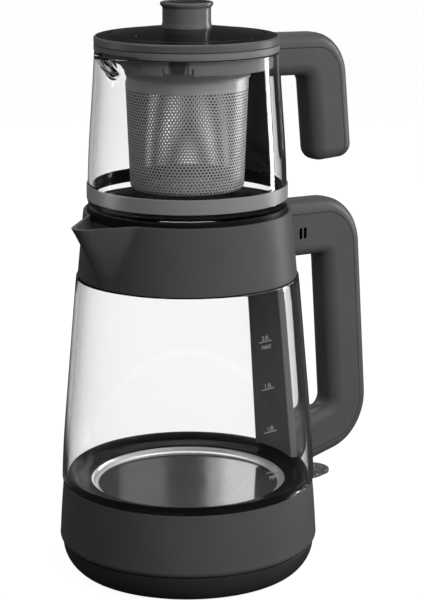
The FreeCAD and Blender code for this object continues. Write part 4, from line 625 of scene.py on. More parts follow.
def collarShape(degrees, radius, z):
    # moves the collar's wall out to the spout; the ledges inside it stay
    cone = collarCone(z)
    share = (cone - radius) / wall
    if abs(degrees - 180) >= upperCollar["spoutSpan"] or share > upperCollar["skin"] or z < waist[1]:
        return radius, z
    share = min(max(share, 0.0), 1.0)
    outer = smoothMax(cone, outerReach(degrees, z), upperCollar["crease"])
    inner = smoothMax(cone - wall, innerReach(degrees, z), upperCollar["crease"])
    rise = (z - waist[1]) / (mouth[1] - waist[1])
    out = max(0.0, outer - cone) / (upperCollar["beak"]["tip"] - mouth[0])
    drop = upperCollar["noseDrop"] * out * rise ** upperCollar["dropPower"]
    return outer + share * (inner - outer), z - drop


heights = np.linspace(waist[1], mouth[1], upperCollar["rows"])
section = [(*waist, 0.35)] + [(collarCone(z), z, 0) for z in heights[1:-1]]
section += [(*mouth, 0.6), (mouth[0] - wall, mouth[1], 0.6)]
section += [(collarCone(z) - wall, z, 0) for z in heights[-2:1:-1]] + upperCollar["foot"]
mesh = outward(turned("upperCollar", closedSection(section, 0.3), angles=fineAngles, shape=collarShape))
ledgeSpan = np.linspace(-upperCollar["ledgeHalfAngle"], upperCollar["ledgeHalfAngle"], 120)
ledge = turned("ledge", closedSection(upperCollar["ledge"], 0.3), angles=list(ledgeSpan))
collar = carve(objectFrom("upperCollar", mesh), ("UNION", ledge))
seat(collar, satinGrey, "upper_collar")

seatRing = {"section": [(46.0, 235.2), (64.0, 235.2), (64.0, 241.0), (63.3, 241.7), (62.4, 241.7),
                        (62.4, 239.2), (46.0, 239.2)], "rounding": 0.35, "columns": 200}
turnedPiece("teapotSeat", "teapot_seat", seatRing, satinBlack)


def curvedPanel(name, rows, halfAngle, depth, edge, stepDegrees=1.5):
    # rows: (outer radius, height) from bottom to top; a plate that follows the wall round the axis at +X
    reference = rows[0][0]
    half = math.radians(halfAngle) * reference
    outline = closedSection([(-half, 0), (half, 0), (half, depth), (-half, depth)], edge)
    loop = []
    for i, (u, v) in enumerate(outline):
        nextU, nextV = outline[(i + 1) % len(outline)]
        count = max(1, round(abs(nextU - u) / (math.radians(stepDegrees) * reference)))
        loop += [(u + (nextU - u) * k / count, v + (nextV - v) * k / count) for k in range(count)]
    rings = [[((r - v) * math.cos(u / reference), (r - v) * math.sin(u / reference), z) for u, v in loop]
             for r, z in rows]
    return outward(meshFrom(name, *stacked(rings)))


# steam duct: a flat channel up the inside of the glass, all but straight
steamDuct = {"low": (77.2, 64.9), "bend": (75.5, 84.4), "top": (65.16, 200.5), "bendLength": 9.0,
             "bendRows": 9, "upperRows": 12, "halfAngle": 17.0, "turn": -8.0, "depth": 5.2, "edge": 0.9}
low, bend, top = (Vector(steamDuct[key]) for key in ("low", "bend", "top"))
bendIn = bend + (low - bend).normalized() * steamDuct["bendLength"]
bendOut = bend + (top - bend).normalized() * steamDuct["bendLength"]
rows = [tuple(low)] + [tuple((1 - t) ** 2 * bendIn + 2 * t * (1 - t) * bend + t * t * bendOut)
                       for t in np.linspace(0, 1, steamDuct["bendRows"])]
rows += [tuple(bendOut + (top - bendOut) * t) for t in np.linspace(0, 1, steamDuct["upperRows"])[1:]]
mesh = curvedPanel("steamDuct", rows, steamDuct["halfAngle"], steamDuct["depth"], steamDuct["edge"])
mesh.transform(Matrix.Rotation(math.radians(steamDuct["turn"]), 4, "Z"))
seat(objectFrom("steamDuct", mesh), ductPlastic, "steam_duct")
print("collar, spout and duct made")


def lineAt(point, degrees):
    turn = math.radians(degrees)
    return Vector(point), Vector((math.cos(turn), math.sin(turn)))


def shifted(line, distance):
    # the parallel line at a distance to the left
    point, way = line
    return point + Vector((-way.y, way.x)) * distance, way


def meet(one, two):
    (p, d), (q, e) = one, two
    along = ((q.x - p.x) * e.y - (q.y - p.y) * e.x) / (d.x * e.y - d.y * e.x)
    return p + d * along


def upright(x):
    return Vector((x, 0.0)), Vector((0.0, 1.0))


def outlinePoints(corners, stepDegrees=5.0):
    # corners: (point, corner radius, edge radius) -> (point, outward mitre, edge radius) round the outline
    count = len(corners)
    area = sum(corners[i][0].cross(corners[(i + 1) % count][0]) for i in range(count))
    side = 1 if area > 0 else -1
    found = []
    for i, (here, radius, edge) in enumerate(corners):
        into = (here - corners[i - 1][0]).normalized()
        away = (corners[(i + 1) % count][0] - here).normalized()
        outIn, outAway = Vector((into.y, -into.x)) * side, Vector((away.y, -away.x)) * side
        turn = into.angle_signed(away)
        if radius == 0:
            mitre = (outIn + outAway).normalized()
            found.append((here, mitre / max(mitre.dot(outIn), 0.2), edge))
            continue
        convex = outIn.dot(away) < 0
        centre = here - into * radius * math.tan(abs(turn) / 2) - outIn * radius * (1 if convex else -1)
        steps = max(3, math.ceil(math.degrees(abs(turn)) / stepDegrees))
        for k in range(steps + 1):
            normal = outIn.copy()
            normal.rotate(Matrix.Rotation(-outIn.angle_signed(outAway) * k / steps, 2))
            found.append((centre + normal * radius * (1 if convex else -1), normal, edge))
    return found


def roundedSlab(name, outline, halfWidth, layers=8):
    # stacks the outline across Y; each edge rolls over with its own radius
    rings = []
    for side in (-1, 1):
        stack = []
        for k in range(layers + 1):
            turn = math.pi / 2 * k / layers
            stack.append([(p - n * e * (1 - math.cos(turn)), side * (halfWidth - e * (1 - math.sin(turn))))
                          for p, n, e in outline])
        rings += stack[::-1] if side < 0 else stack
    return outward(meshFrom(name, *stacked([[(p.x, y, p.y) for p, y in ring] for ring in rings])))


def handleParts(names, outlineFor, values, envelope, shellTools=()):
    # one slab cut into a shell and the crown cover over its back, both clear of the walls they stand on
    wallColumns, cutWidth = 240, values["halfWidth"] + 3
    whole = roundedSlab(names[0], outlineFor(values["crown"]), values["halfWidth"])
    whole.materials.append(satinGrey)
    shellPart, coverPart = objectFrom(names[0], whole), objectFrom(names[1], whole.copy())
    for part, side, operation, more in ((shellPart, -1, "INTERSECT", shellTools),
                                        (coverPart, 1, "DIFFERENCE", ())):
        inside = [(p, n, 0.0) for p, n, _ in outlineFor(side * values["groove"] / 2)]
        carve(part, ("DIFFERENCE", turned("envelope", closedSection(envelope, 0), wallColumns)),
              (operation, roundedSlab("inside", inside, cutWidth, 1)), *more)
    return shellPart, coverPart


# kettle handle: a shell with a crown cover over its back, parted by a thin groove
handle = {"topAt": (66.5, 225.3), "topFall": 3.0, "topDepth": 29.3, "gripAt": (144.5, 141.3), "gripTilt": 4.5,
          "gripDepth": 24.5, "bottomAt": (103.8, 57.3), "bottomRise": 9.8, "bottomDepth": 24.0,
          "corner": 27.0, "innerTop": 3.0, "innerBottom": 6.0, "crown": 9.5, "crownRound": 9.0,
          "innerRound": 8.0, "halfWidth": 11.0, "root": 55.0, "groove": 0.38, "gap": 0.1}


def handleOutline(grow):
    top = lineAt(handle["topAt"], -handle["topFall"])
    grip = lineAt(handle["gripAt"], handle["gripTilt"] - 90)
    bottom = lineAt(handle["bottomAt"], 180 + handle["bottomRise"])
    root = upright(handle["root"])
    under, inner = shifted(top, -handle["topDepth"]), shifted(grip, -handle["gripDepth"])
    over = shifted(bottom, -handle["bottomDepth"])
    top, grip, bottom = shifted(top, grow), shifted(grip, grow), shifted(bottom, grow)
    crown, inside, corner = handle["crownRound"], handle["innerRound"], handle["corner"] + grow
    return outlinePoints([(meet(top, root), 0, crown), (meet(top, grip), corner, crown),
                          (meet(grip, bottom), corner, crown), (meet(bottom, root), 0, crown),
                          (meet(over, root), 0, inside), (meet(over, inner), handle["innerBottom"], inside),
                          (meet(inner, under), handle["innerTop"], inside), (meet(under, root), 0, inside)])


gap = handle["gap"]
envelope = [(0, 0), (84.5 + gap, 0), (84.5 + gap, 23.5), (83.4 + gap, 41.5, 81.9 + gap, 59.5),
            (82.7 + gap, 60.1), (82.7 + gap, 61.1)]
envelope += [(kettleRadius(z) + gap, z) for z in (72.0, 90.0, 111.1, 133.0, 154.95, 175.0)]
envelope += [(72.2 + gap, 196.2), (70.7 + gap, 196.2), (66.5 + gap, 238.6), (66.5 + gap, 339), (0, 339)]
vents = {"x": (90.1, 94.1), "low": 207.3, "high": 214.9, "width": 2.6, "depth": 5.0, "past": 9.0,
         "slack": 0.1, "lip": 0.4}
halfVent, ventFloor = vents["width"] / 2, handle["halfWidth"] - vents["depth"]
ventTools = []
for ventX in vents["x"]:
    left, right = ventX - halfVent, ventX + halfVent
    slotOutline = closedSection([(left, vents["low"]), (right, vents["low"]), (right, vents["high"]),
                                 (left, vents["high"])], halfVent)
    for side in (-1, 1):
        ends = sorted((side * ventFloor, side * (handle["halfWidth"] + vents["past"])))
        slot = stacked([[(x, y, z) for x, z in slotOutline] for y in ends])
        ventTools.append(("DIFFERENCE", meshFrom("vent", *slot)))
shellPart, coverPart = handleParts(("handleShell", "handleCover"), handleOutline, handle, envelope, ventTools)
shellPart.data.materials.append(blackPlastic)
for face in shellPart.data.polygons:
    x, y, z = face.center / mm
    inSlot = any(abs(x - ventX) < halfVent + vents["slack"] / 2 for ventX in vents["x"])
    inHeight = vents["low"] - vents["slack"] < z < vents["high"] + vents["slack"]
    if inSlot and inHeight and abs(y) < handle["halfWidth"] - vents["lip"]:
        face.material_index = 1  # painted shade: black inside the vents
seat(shellPart, satinGrey, "handle_shell")
seat(coverPart, satinGrey, "handle_cover")
print("kettle handle made")

# switch lever: a smoked paddle with a soft edge and a rounded belly
lever = {"rootX": 87.0, "tipX": 125.4, "half": 10.8, "top": 39.6, "thick": 3.0, "tipRound": 10.0,
         "rootRound": 3.0, "middleX": 107.2, "belly": 3.4, "bellyShare": 0.86,
         "bellyRings": (0.86, 0.83, 0.78, 0.7, 0.6, 0.45, 0.3, 0.15),
         # (share of the plan, drop below the top) and (share of the plan, height above the flat underside)
         "upperRings": ((0.0, 0.12), (0.35, 0.12), (0.7, 0.1), (0.93, 0), (0.965, 0.12), (0.99, 0.45),
                        (1.0, 1.0)),
         "lowerRings": ((1.0, 0.5), (0.985, 0.12), (0.95, 0)),
         "pivot": (75.5, 35.5), "hub": 4.2, "bore": 1.6, "stemHalf": 7.0, "stemInto": 6.0,
         "stemOver": 0.02, "stemUnder": 0.14,  # the stem stands this far off the underside and below the top
         "arm": (10.0, 3.0, 1.2)}  # how far the arm reaches inwards, and half its width and height
half, top, low = lever["half"], lever["top"], lever["top"] - lever["thick"]
corners = [(lever["rootX"], -half, lever["rootRound"]), (lever["tipX"], -half, lever["tipRound"]),
           (lever["tipX"], half, lever["tipRound"]), (lever["rootX"], half, lever["rootRound"])]
plan = [p for p, n, e in outlinePoints([(Vector((x, y)), r, 0) for x, y, r in corners], 8)]
middle = Vector((lever["middleX"], 0))
rings = [(share, top - drop) for share, drop in lever["upperRings"]]
rings += [(share, low + rise) for share, rise in lever["lowerRings"]]
rings += [(share, low - lever["belly"] * math.sqrt(max(0.0, 1 - (share / lever["bellyShare"]) ** 2)))
          for share in lever["bellyRings"]] + [(0.0, low - lever["belly"])]
points, rows = [], []
for share, z in rings:
    spots = [(*(middle + (p - middle) * share), z) for p in plan] if share else [(middle.x, 0, z)]
    rows.append([len(points) + k % len(spots) for k in range(len(plan))])
    points += spots
faces = [face for one, two in zip(rows, rows[1:]) for face in facesBetween(one, two)]
paddle = objectFrom("switchLever", outward(meshFrom("switchLever", points, faces)))
px, pz = lever["pivot"]
stemHalf, (armLength, armHalf, armHigh) = lever["stemHalf"], lever["arm"]
stem = boxMesh(px, lever["rootX"] + lever["stemInto"], -stemHalf, stemHalf, low + lever["stemOver"],
               top - lever["stemUnder"])
carve(paddle, ("UNION", stem), ("UNION", cylinderAlongY(lever["hub"], -stemHalf, stemHalf, px, pz)),
      ("UNION", boxMesh(px - armLength, px, -armHalf, armHalf, pz - armHigh, pz + armHigh)),
      ("DIFFERENCE", cylinderAlongY(lever["bore"], -20, 20, px, pz, 32)))
seat(paddle, leverPlastic, "switch_lever")
print("switch lever made")

# teapot: one glass with a thick floor, a groove for the band and a pulled lip
teapotGlass = {"outer": [(63.4, 255.9), (62.58, 275.9), (60.29, 308.3), (58.3, 339.1)], "wall": 2.6,
               "foot": [(0, 239.2), (56.0, 239.2, 0), (61.66, 241.54, 63.98, 246.5), (63.2, 246.5),
                        (63.2, 255.9), (63.4, 255.9, 0.1)],
               "floor": [(60.8, 249.2, 0), (59.04, 244.96, 54.8, 243.2), (0, 243.2)],
               # height and count of the rows below the lip's toe, and of those above it
               "rowsTo": (322.0, 14), "rowsFrom": (324.0, 12),
               "lipToe": 325.5, "lipWall": 3.0, "crease": 1.5,
               "lipSpan": 70, "lipUnder": 2.0, "skin": 1.3,
               "lift": (55.77, 16.53, 1.9),  # the rim rises from this reach, over this length, by this much
               "beak": {"tip": 70.4, "halfAngle": 17.5, "bow": 0.6, "noseHalf": 6.0, "noseRound": 3.0}}
teapotRadius = fitted(teapotGlass["outer"])
(potFoot, footZ), (potRim, rimZ) = teapotGlass["outer"][0], teapotGlass["outer"][-1]
wall, toeZ = teapotGlass["wall"], teapotGlass["lipToe"]
lipOuter = beakReach(teapotGlass["beak"], teapotRadius, 0, toeZ, rimZ)
lipInner = beakReach(teapotGlass["beak"], lambda z: teapotRadius(z) - teapotGlass["wall"],
                     teapotGlass["lipWall"], toeZ, rimZ)


def lipShape(degrees, radius, z):
    # pulls the wall out to the pouring lip and lifts the rim there
    if abs(degrees - 180) >= teapotGlass["lipSpan"] or z < toeZ - teapotGlass["lipUnder"]:
        return radius, z
    skin = teapotRadius(z)
    share = (skin - radius) / teapotGlass["wall"]
    if share > teapotGlass["skin"]:
        return radius, z
    share = min(max(share, 0.0), 1.0)
    outer = smoothMax(skin, lipOuter(degrees, z), teapotGlass["crease"])
    inner = smoothMax(skin - teapotGlass["wall"], lipInner(degrees, z), teapotGlass["crease"])
    r = outer + share * (inner - outer)
    liftFrom, liftOver, liftBy = teapotGlass["lift"]
    rise = max(0.0, -r * math.cos(math.radians(degrees)) - liftFrom) / liftOver * liftBy
    return r, z + rise * max(0.0, (z - toeZ) / (rimZ - toeZ)) ** 2


heights = np.concatenate([np.linspace(footZ, *teapotGlass["rowsTo"]),
                          np.linspace(teapotGlass["rowsFrom"][0], rimZ, teapotGlass["rowsFrom"][1])])
section = teapotGlass["foot"] + [(teapotRadius(z), z, 0) for z in heights[1:-1]]
section += [(potRim, rimZ, 1.0), (potRim - wall, rimZ, 1.0)]
section += [(teapotRadius(z) - wall, z, 0) for z in heights[-2::-1]] + teapotGlass["floor"]
mesh = outward(turned("teapotGlass", closedSection(section, 0.3), angles=fineAngles, shape=lipShape))
seat(objectFrom("teapotGlass", mesh), glassMaterial, "teapot_glass")

band = {"section": [(63.3, 246.6), (64.2, 246.6), (64.2, 255.8), (63.3, 255.8)], "rounding": 0.3,
        "columns": 240}
teapotBand = turnedBody("teapotBand", band)
teapotBand.data.materials.append(bandSteel)
teapotBand.data.materials.append(blackPlastic)
for face in teapotBand.data.polygons:
    if face.normal.dot(Vector((face.center.x, face.center.y, 0))) < 0:
        face.material_index = 1  # painted shade: black on the inside, for a dark line at the band's top edge
seat(teapotBand, bandSteel, "teapot_band")

# neck ring: a flange with a skirt, cut away over the lip, and a sprung tongue between two slits
neckRing = {"section": [(52.5, 343.85), (58.55, 343.85), (58.55, 340.9), (58.3, 340.9), (58.3, 339.7),
                        (54.3, 339.7), (54.3, 330.0), (52.5, 330.0), (52.5, 334.5), (47.5, 334.5),
                        (47.5, 337.0), (52.5, 337.0)],
            "rounding": 0.3, "columns": 240, "tongueAngle": -136.0, "tongueHalfAngle": 9.4, "slitWidth": 1.4,
            "slitRadius": 54.3}
tongue, tongueHalf = neckRing["tongueAngle"], neckRing["tongueHalfAngle"]
slitHalf = math.degrees(neckRing["slitWidth"] / neckRing["slitRadius"]) / 2
neckCuts = {  # operation, inner and outer radius, low and high, middle and half angle, columns
    "skirtGap": ("DIFFERENCE", 40, 60, 329, 334.5, 180, 7.0, 24),
    "lipGap": ("DIFFERENCE", 53.3, 70, 334.4, 341.1, 180, 19.0, 24),
    "tab": ("UNION", 55, 60.05, 340.9, 343.85, 0, 14.0, 24),
    "firstSlit": ("DIFFERENCE", 51, 56, 329, 334.4, tongue - tongueHalf, slitHalf, 4),
    "secondSlit": ("DIFFERENCE", 51, 56, 329, 334.4, tongue + tongueHalf, slitHalf, 4),
    "catchRecess": ("DIFFERENCE", 53.4, 56, 330.9, 338.2, tongue, 6.8, 12),
    "tongueFoot": ("DIFFERENCE", 51, 56, 329, 331.3, tongue, tongueHalf, 16)}


def sector(inner, outer, low, high, middleAngle, halfAngle, columns):
    return turned("sector", closedSection([(inner, low), (outer, low), (outer, high), (inner, high)], 0),
                  angles=list(np.linspace(middleAngle - halfAngle, middleAngle + halfAngle, columns)))


neck = carve(turnedBody("neckRing", neckRing), *[(cut[0], sector(*cut[1:])) for cut in neckCuts.values()])
seat(neck, neckGrey, "neck_ring")

# dark catch pressed into the recess between the two slits, wider at its top
catch = {"inner": 53.42, "outer": 54.2, "low": 331.4, "high": 338.1, "halfLow": 3.9, "halfHigh": 5.3,
         "columns": 12}
catchFoot, catchHead = (catch["low"], catch["halfLow"]), (catch["high"], catch["halfHigh"])
catchCorners = [(catch["inner"], *catchFoot), (catch["outer"], *catchFoot), (catch["outer"], *catchHead),
                (catch["inner"], *catchHead)]
rings = []
for share in np.linspace(-1, 1, catch["columns"]):
    turns = [math.radians(tongue + share * half) for r, z, half in catchCorners]
    rings.append([(r * math.cos(a), r * math.sin(a), z) for a, (r, z, half) in zip(turns, catchCorners)])
catchPiece = objectFrom("neckCatch", outward(meshFrom("neckCatch", *stacked(rings))))
seat(catchPiece, smokedPlastic, "neck_ring", replace=False)

strap = {"gap": 0.15, "thick": 1.6, "halfAngle": 18.0, "edge": 0.5, "rows": 24, "low": 255.85, "high": 340.85}
rows = [(teapotRadius(max(z, footZ)) + strap["gap"] + strap["thick"], z)
        for z in np.linspace(strap["low"], strap["high"], strap["rows"])]
mesh = curvedPanel("teapotStrap", rows, strap["halfAngle"], strap["thick"], strap["edge"])
seat(objectFrom("teapotStrap", mesh), smokedPlastic, "teapot_strap")

# teapot handle: an arm and a grip that hangs free, with a crown cover as on the kettle's
potHandle = {"armAt": (71.1, 336.0), "armFall": 2.9, "armDepth": 18.6, "gripAt": (128.0, 288.0),
             "gripTilt": 6.0, "gripDepth": 25.4, "corner": 22.0, "inner": 7.0, "end": 9.2,
             "bottom": 257.6, "endTilt": 0.8, "round": 8.6, "root": 50.0, "crown": 9.5,
             "halfWidth": 11.0, "groove": 0.38, "gap": 0.1}


def potHandleOutline(grow):
    arm = lineAt(potHandle["armAt"], -potHandle["armFall"])
    grip = lineAt(potHandle["gripAt"], potHandle["gripTilt"] - 90)
    ending = lineAt((potHandle["gripAt"][0], potHandle["bottom"]), 180 + potHandle["endTilt"])
    under, inner = shifted(arm, -potHandle["armDepth"]), shifted(grip, -potHandle["gripDepth"])
    arm, grip = shifted(arm, grow), shifted(grip, grow)
    root, edge, finish = upright(potHandle["root"]), potHandle["round"], potHandle["end"]
    return outlinePoints([(meet(arm, root), 0, edge), (meet(arm, grip), potHandle["corner"] + grow, edge),
                          (meet(grip, ending), finish, edge), (meet(ending, inner), finish, edge),
                          (meet(inner, under), potHandle["inner"], edge), (meet(under, root), 0, edge)])


clear = strap["gap"] + strap["thick"] + potHandle["gap"]
envelope = [(0, 239), (potFoot + clear, 239), (potFoot + clear, footZ)]
envelope += [(teapotRadius(z) + clear, z) for z in (275.9, 292.0, 308.3, 325.0)]
envelope += [(potRim + clear, 343.85), (potRim + clear, 375), (0, 375)]
shellPart, coverPart = handleParts(("teapotHandleShell", "teapotHandleCover"), potHandleOutline, potHandle,
                                   envelope)
seat(shellPart, satinGrey, "teapot_handle_shell")
seat(coverPart, satinGrey, "teapot_handle_cover")
print("teapot made")

infuserRim = {"section": [(51.9, 337.0), (51.9, 338.0), (43.2, 338.0, 1.2), (42.2, 330.0, 1.0),
                          (39.2, 325.0), (39.2, 323.5), (40.0, 323.5), (40.0, 325.0), (43.0, 330.0, 1.0),
                          (44.0, 337.0, 1.2)], "rounding": 0.3, "columns": 200}
turnedPiece("infuserRim", "infuser_rim", infuserRim)


def perforatedSheetTree():
    # a staggered sheet of pierced cells, wrapped down a cone and round its bottom corner
    tree, given = newTree("perforatedSheet", ("Geometry", "Geometry"), ("Columns", "Int"), ("Rows", "Int"),
                          ("Row Pitch", "Float"), ("Top Radius", "Float"), ("Top Height", "Float"),
                          ("Cone Length", "Float"), ("Cone Slope", "Float"), ("Corner Radius", "Float"),
                          ("Material", "Material"))
    values = {name: given[name] for name in ("Columns", "Rows", "Row Pitch", "Top Radius", "Top Height",
                                             "Cone Length", "Cone Slope", "Corner Radius")}
    values["index"] = addNode(tree, "GeometryNodeInputIndex")
    flat = addNode(tree, "ShaderNodeSeparateXYZ", (addNode(tree, "GeometryNodeInputPosition"),)).outputs
    values["across"], values["down"] = flat[0], flat[1]
    steps = [  # result, operation, and what it works on by name or as a number
        # cell number to column and row; every second row is set half a cell along
        ("middle", "ADD", "index", 0.5), ("rowShare", "DIVIDE", "middle", "Columns"),
        ("row", "FLOOR", "rowShare"), ("rowStart", "MULTIPLY", "row", "Columns"),
        ("column", "SUBTRACT", "index", "rowStart"), ("odd", "MODULO", "row", 2.0),
        ("shift", "MULTIPLY", "odd", 0.5), ("x", "ADD", "column", "shift"), ("y", "ADD", "row", 0.5),
        ("cells", "MULTIPLY", "Columns", "Rows"),
        # across becomes the angle; down runs along the cone and then round the corner
        ("turnShare", "DIVIDE", "across", "Columns"), ("angle", "MULTIPLY", "turnShare", math.tau),
        ("path", "MULTIPLY", "down", "Row Pitch"), ("straight", "MINIMUM", "path", "Cone Length"),
        ("over", "SUBTRACT", "path", "Cone Length"), ("past", "MAXIMUM", "over", 0.0),
        ("bent", "DIVIDE", "past", "Corner Radius"), ("lean", "MULTIPLY", "straight", "Cone Slope"),
        ("coneRadius", "SUBTRACT", "Top Radius", "lean"), ("bentCosine", "COSINE", "bent"),
        ("inShare", "SUBTRACT", 1.0, "bentCosine"), ("inward", "MULTIPLY", "inShare", "Corner Radius"),
        ("radius", "SUBTRACT", "coneRadius", "inward"), ("coneHeight", "SUBTRACT", "Top Height", "straight"),
        ("bentSine", "SINE", "bent"), ("sink", "MULTIPLY", "bentSine", "Corner Radius"),
        ("z", "SUBTRACT", "coneHeight", "sink"), ("cosine", "COSINE", "angle"), ("sine", "SINE", "angle"),
        ("wrappedX", "MULTIPLY", "radius", "cosine"), ("wrappedY", "MULTIPLY", "radius", "sine")]
    for result, operation, *terms in steps:
        values[result] = addNode(tree, "ShaderNodeMath", [values.get(term, term) for term in terms],
                                 operation=operation)
    spot = addNode(tree, "ShaderNodeCombineXYZ", (values["x"], values["y"]))
    points = addNode(tree, "GeometryNodePoints", {"Count": values["cells"], "Position": spot})
    copies = addNode(tree, "GeometryNodeInstanceOnPoints", {"Points": points, "Instance": given["Geometry"]})
    real = addNode(tree, "GeometryNodeRealizeInstances", (copies,))
    wrapped = addNode(tree, "ShaderNodeCombineXYZ", (values["wrappedX"], values["wrappedY"], values["z"]))
    placed = addNode(tree, "GeometryNodeSetPosition", {"Geometry": real, "Position": wrapped})
    joined = addNode(tree, "GeometryNodeMergeByDistance", {"Geometry": placed, "Distance": 0.02 * mm})
    return finishTree(tree, joined, given["Material"])


# infuser basket: rows of round holes; one cell is a unit square with an eight-sided hole
basket = {"columns": 100, "rows": 35, "rowPitch": 1.857, "holeWide": 0.29, "holeHigh": 0.36,
          "topRadius": 38.77, "topHeight": 316.7, "coneLength": 61.1, "coneSlope": 0.04, "corner": 3.0,
          "sheet": 0.45,
          "solidTop": [(38.85, 318.5), (38.98, 321.7), (39.1, 324.9)],
          "solidFloor": [(33.0, 252.5), (26.0, 252.5)], "rimSlack": 0.1}
frameSpots = [(-.5, -.5), (0, -.5), (.5, -.5), (.5, 0), (.5, .5), (0, .5), (-.5, .5), (-.5, 0)]
holeSpots = [(basket["holeWide"] * math.cos(math.radians(a)), basket["holeHigh"] * math.sin(math.radians(a)))
             for a in range(225, 585, 45)]
cell = bpy.data.meshes.new("cell")
cell.from_pydata([(x, y, 0) for x, y in frameSpots + holeSpots], [],
                 [(i, (i + 1) % 8, (i + 1) % 8 + 8, i + 8) for i in range(8)])
basketPiece = objectFrom("infuserBasket", cell)
runTree(basketPiece, perforatedSheetTree(), Columns=basket["columns"], Rows=basket["rows"],
        Material=infuserSteel,
        **{"Row Pitch": basket["rowPitch"] * mm, "Top Radius": basket["topRadius"] * mm,
           "Top Height": basket["topHeight"] * mm, "Cone Length": basket["coneLength"] * mm,
           "Cone Slope": basket["coneSlope"], "Corner Radius": basket["corner"] * mm})
sheet = bmesh.new()
sheet.from_mesh(basketPiece.data)
bmesh.ops.remove_doubles(sheet, verts=sheet.verts, dist=2e-5)


def extendRim(edges, targets):
    # carries an open rim on through (radius, height) rings
    for radius, height in targets:
        made = bmesh.ops.extrude_edge_only(sheet, edges=edges)["geom"]
        edges = [item for item in made if isinstance(item, bmesh.types.BMEdge)]
        for vertex in {v for edge in edges for v in edge.verts}:
            turn = math.atan2(vertex.co.y, vertex.co.x)
            vertex.co = (radius * mm * math.cos(turn), radius * mm * math.sin(turn), height * mm)


def openEdges(low, high):
    # the sheet's free edges between two heights
    return [e for e in sheet.edges if e.is_boundary and all(low < v.co.z < high for v in e.verts)]


lowest = min(v.co.z for v in sheet.verts)
topEdges = openEdges((basket["topHeight"] - basket["rimSlack"]) * mm, 1.0)
lowEdges = openEdges(0.0, lowest + basket["rimSlack"] / 2 * mm)
extendRim(topEdges, basket["solidTop"])
extendRim(lowEdges, basket["solidFloor"])
bmesh.ops.recalc_face_normals(sheet, faces=sheet.faces)
sheet.to_mesh(basketPiece.data)
sheet.free()
basketPiece.data.materials.append(paintedShadeSteel)
thick = basketPiece.modifiers.new("sheet", "SOLIDIFY")
thick.thickness, thick.offset = basket["sheet"] * mm, -1
thick.material_offset, thick.material_offset_rim = 1, 1  # the inside and the cut edges take the painted shade
evaluated(basketPiece)
seat(basketPiece, infuserSteel, "infuser_basket", sharpDegrees=40)
floorDisc = {"section": [(0, 253.1), (27.5, 253.1), (27.5, 253.7), (0, 253.7)], "rounding": 0.2,
             "columns": 100}
turnedPiece("infuserFloor", "infuser_floor", floorDisc)
print("infuser made")

# lid: polished top, satin stepped rim, knob with a pressed-in cap
lidDisc = {"section": [(0, 354.0), (17.0, 354.0, 0), (33.0, 352.4, 49.0, 350.0), (49.2, 349.5, 0.1),
                       (49.9, 349.5, 0.1), (50.1, 350.0, 0.2), (57.6, 349.2, 0.6), (58.5, 348.3, 0.4),
                       (58.5, 344.5), (57.7, 344.4), (57.7, 343.85), (51.2, 343.85), (51.2, 339.4),
                       (49.4, 339.4), (49.4, 346.05), (6.0, 349.05), (0, 349.05)],
           "rounding": 0.3, "columns": 240, "glossRadius": 57.2, "glossAbove": 349.2,
           "ventX": -40.0, "ventRadius": 1.6, "ventLow": 335, "ventHigh": 360}
low, high, radius = lidDisc["ventLow"], lidDisc["ventHigh"], lidDisc["ventRadius"]
ventHole = turned("vent", closedSection([(0, low), (radius, low), (radius, high), (0, high)], 0), 32)
ventHole.transform(Matrix.Translation((lidDisc["ventX"] * mm, 0, 0)))
lid = carve(turnedBody("lidDisc", lidDisc), ("DIFFERENCE", ventHole))
lid.data.materials.clear()
lid.data.materials.append(lidGrey)
lid.data.materials.append(lidGloss)
for face in lid.data.polygons:
    centre = face.center
    if math.hypot(centre.x, centre.y) < lidDisc["glossRadius"] * mm and centre.z > lidDisc["glossAbove"] * mm:
        face.material_index = 1  # polished top inside the rim
seat(lid, lidGrey, "lid_disc")

knob = {"section": [(0, 354.0), (15.8, 354.0), (15.8, 355.5, 0.5), (15.3, 357.0, 0.8), (15.3, 366.6, 0.8),
                    (16.25, 367.6, 0.5), (16.75, 368.3, 0.4), (16.75, 369.4, 0.4), (16.15, 370.0, 0.4),
                    (14.7, 370.0), (14.7, 368.1), (12.9, 368.1), (12.9, 355.8), (4.0, 355.8), (4.0, 366.6),
                    (0, 366.6)],
        "rounding": 0.25, "columns": 120}
turnedPiece("lidKnob", "lid_knob", knob, knobGrey)
cap = {"section": [(0, 368.1), (14.6, 368.1), (14.6, 369.5, 0.4), (0, 369.5)], "rounding": 0.2,
       "columns": 120}
turnedPiece("knobCap", "knob_cap", cap)
print("lid made")

# level marks: short lines with their litres, bent round the glass at -Y
marks = {"rows": ((165.0, "2.0L", "MAX"), (134.8, "1.5L", ""), (107.6, "1.0L", ""), (81.7, "0.5L", "MIN")),
         "lineLeft": -5.2, "lineRight": 5.4, "lineHigh": 0.4, "lineColumns": 9, "textSize": 3.74,
         "above": (0.3, 1.2), "below": (0.6, -4.6), "lift": 0.02, "thick": 0.06}


def textMesh(body, x, z):
    # points and faces of raised text: across, up and out
    curve = bpy.data.curves.new("mark", "FONT")
    curve.body, curve.size, curve.align_x = body, marks["textSize"], "CENTER"
    curve.extrude = marks["thick"] / 2
    helper = objectFrom("mark", curve)
    bpy.context.view_layer.update()
    mesh = bpy.data.meshes.new_from_object(helper.evaluated_get(bpy.context.evaluated_depsgraph_get()))
    spots = [(x + v.co.x, z + v.co.y, v.co.z + marks["thick"] / 2) for v in mesh.vertices]
    faces = [list(face.vertices) for face in mesh.polygons]
    bpy.data.objects.remove(helper)
    bpy.data.meshes.remove(mesh)
    return spots, faces


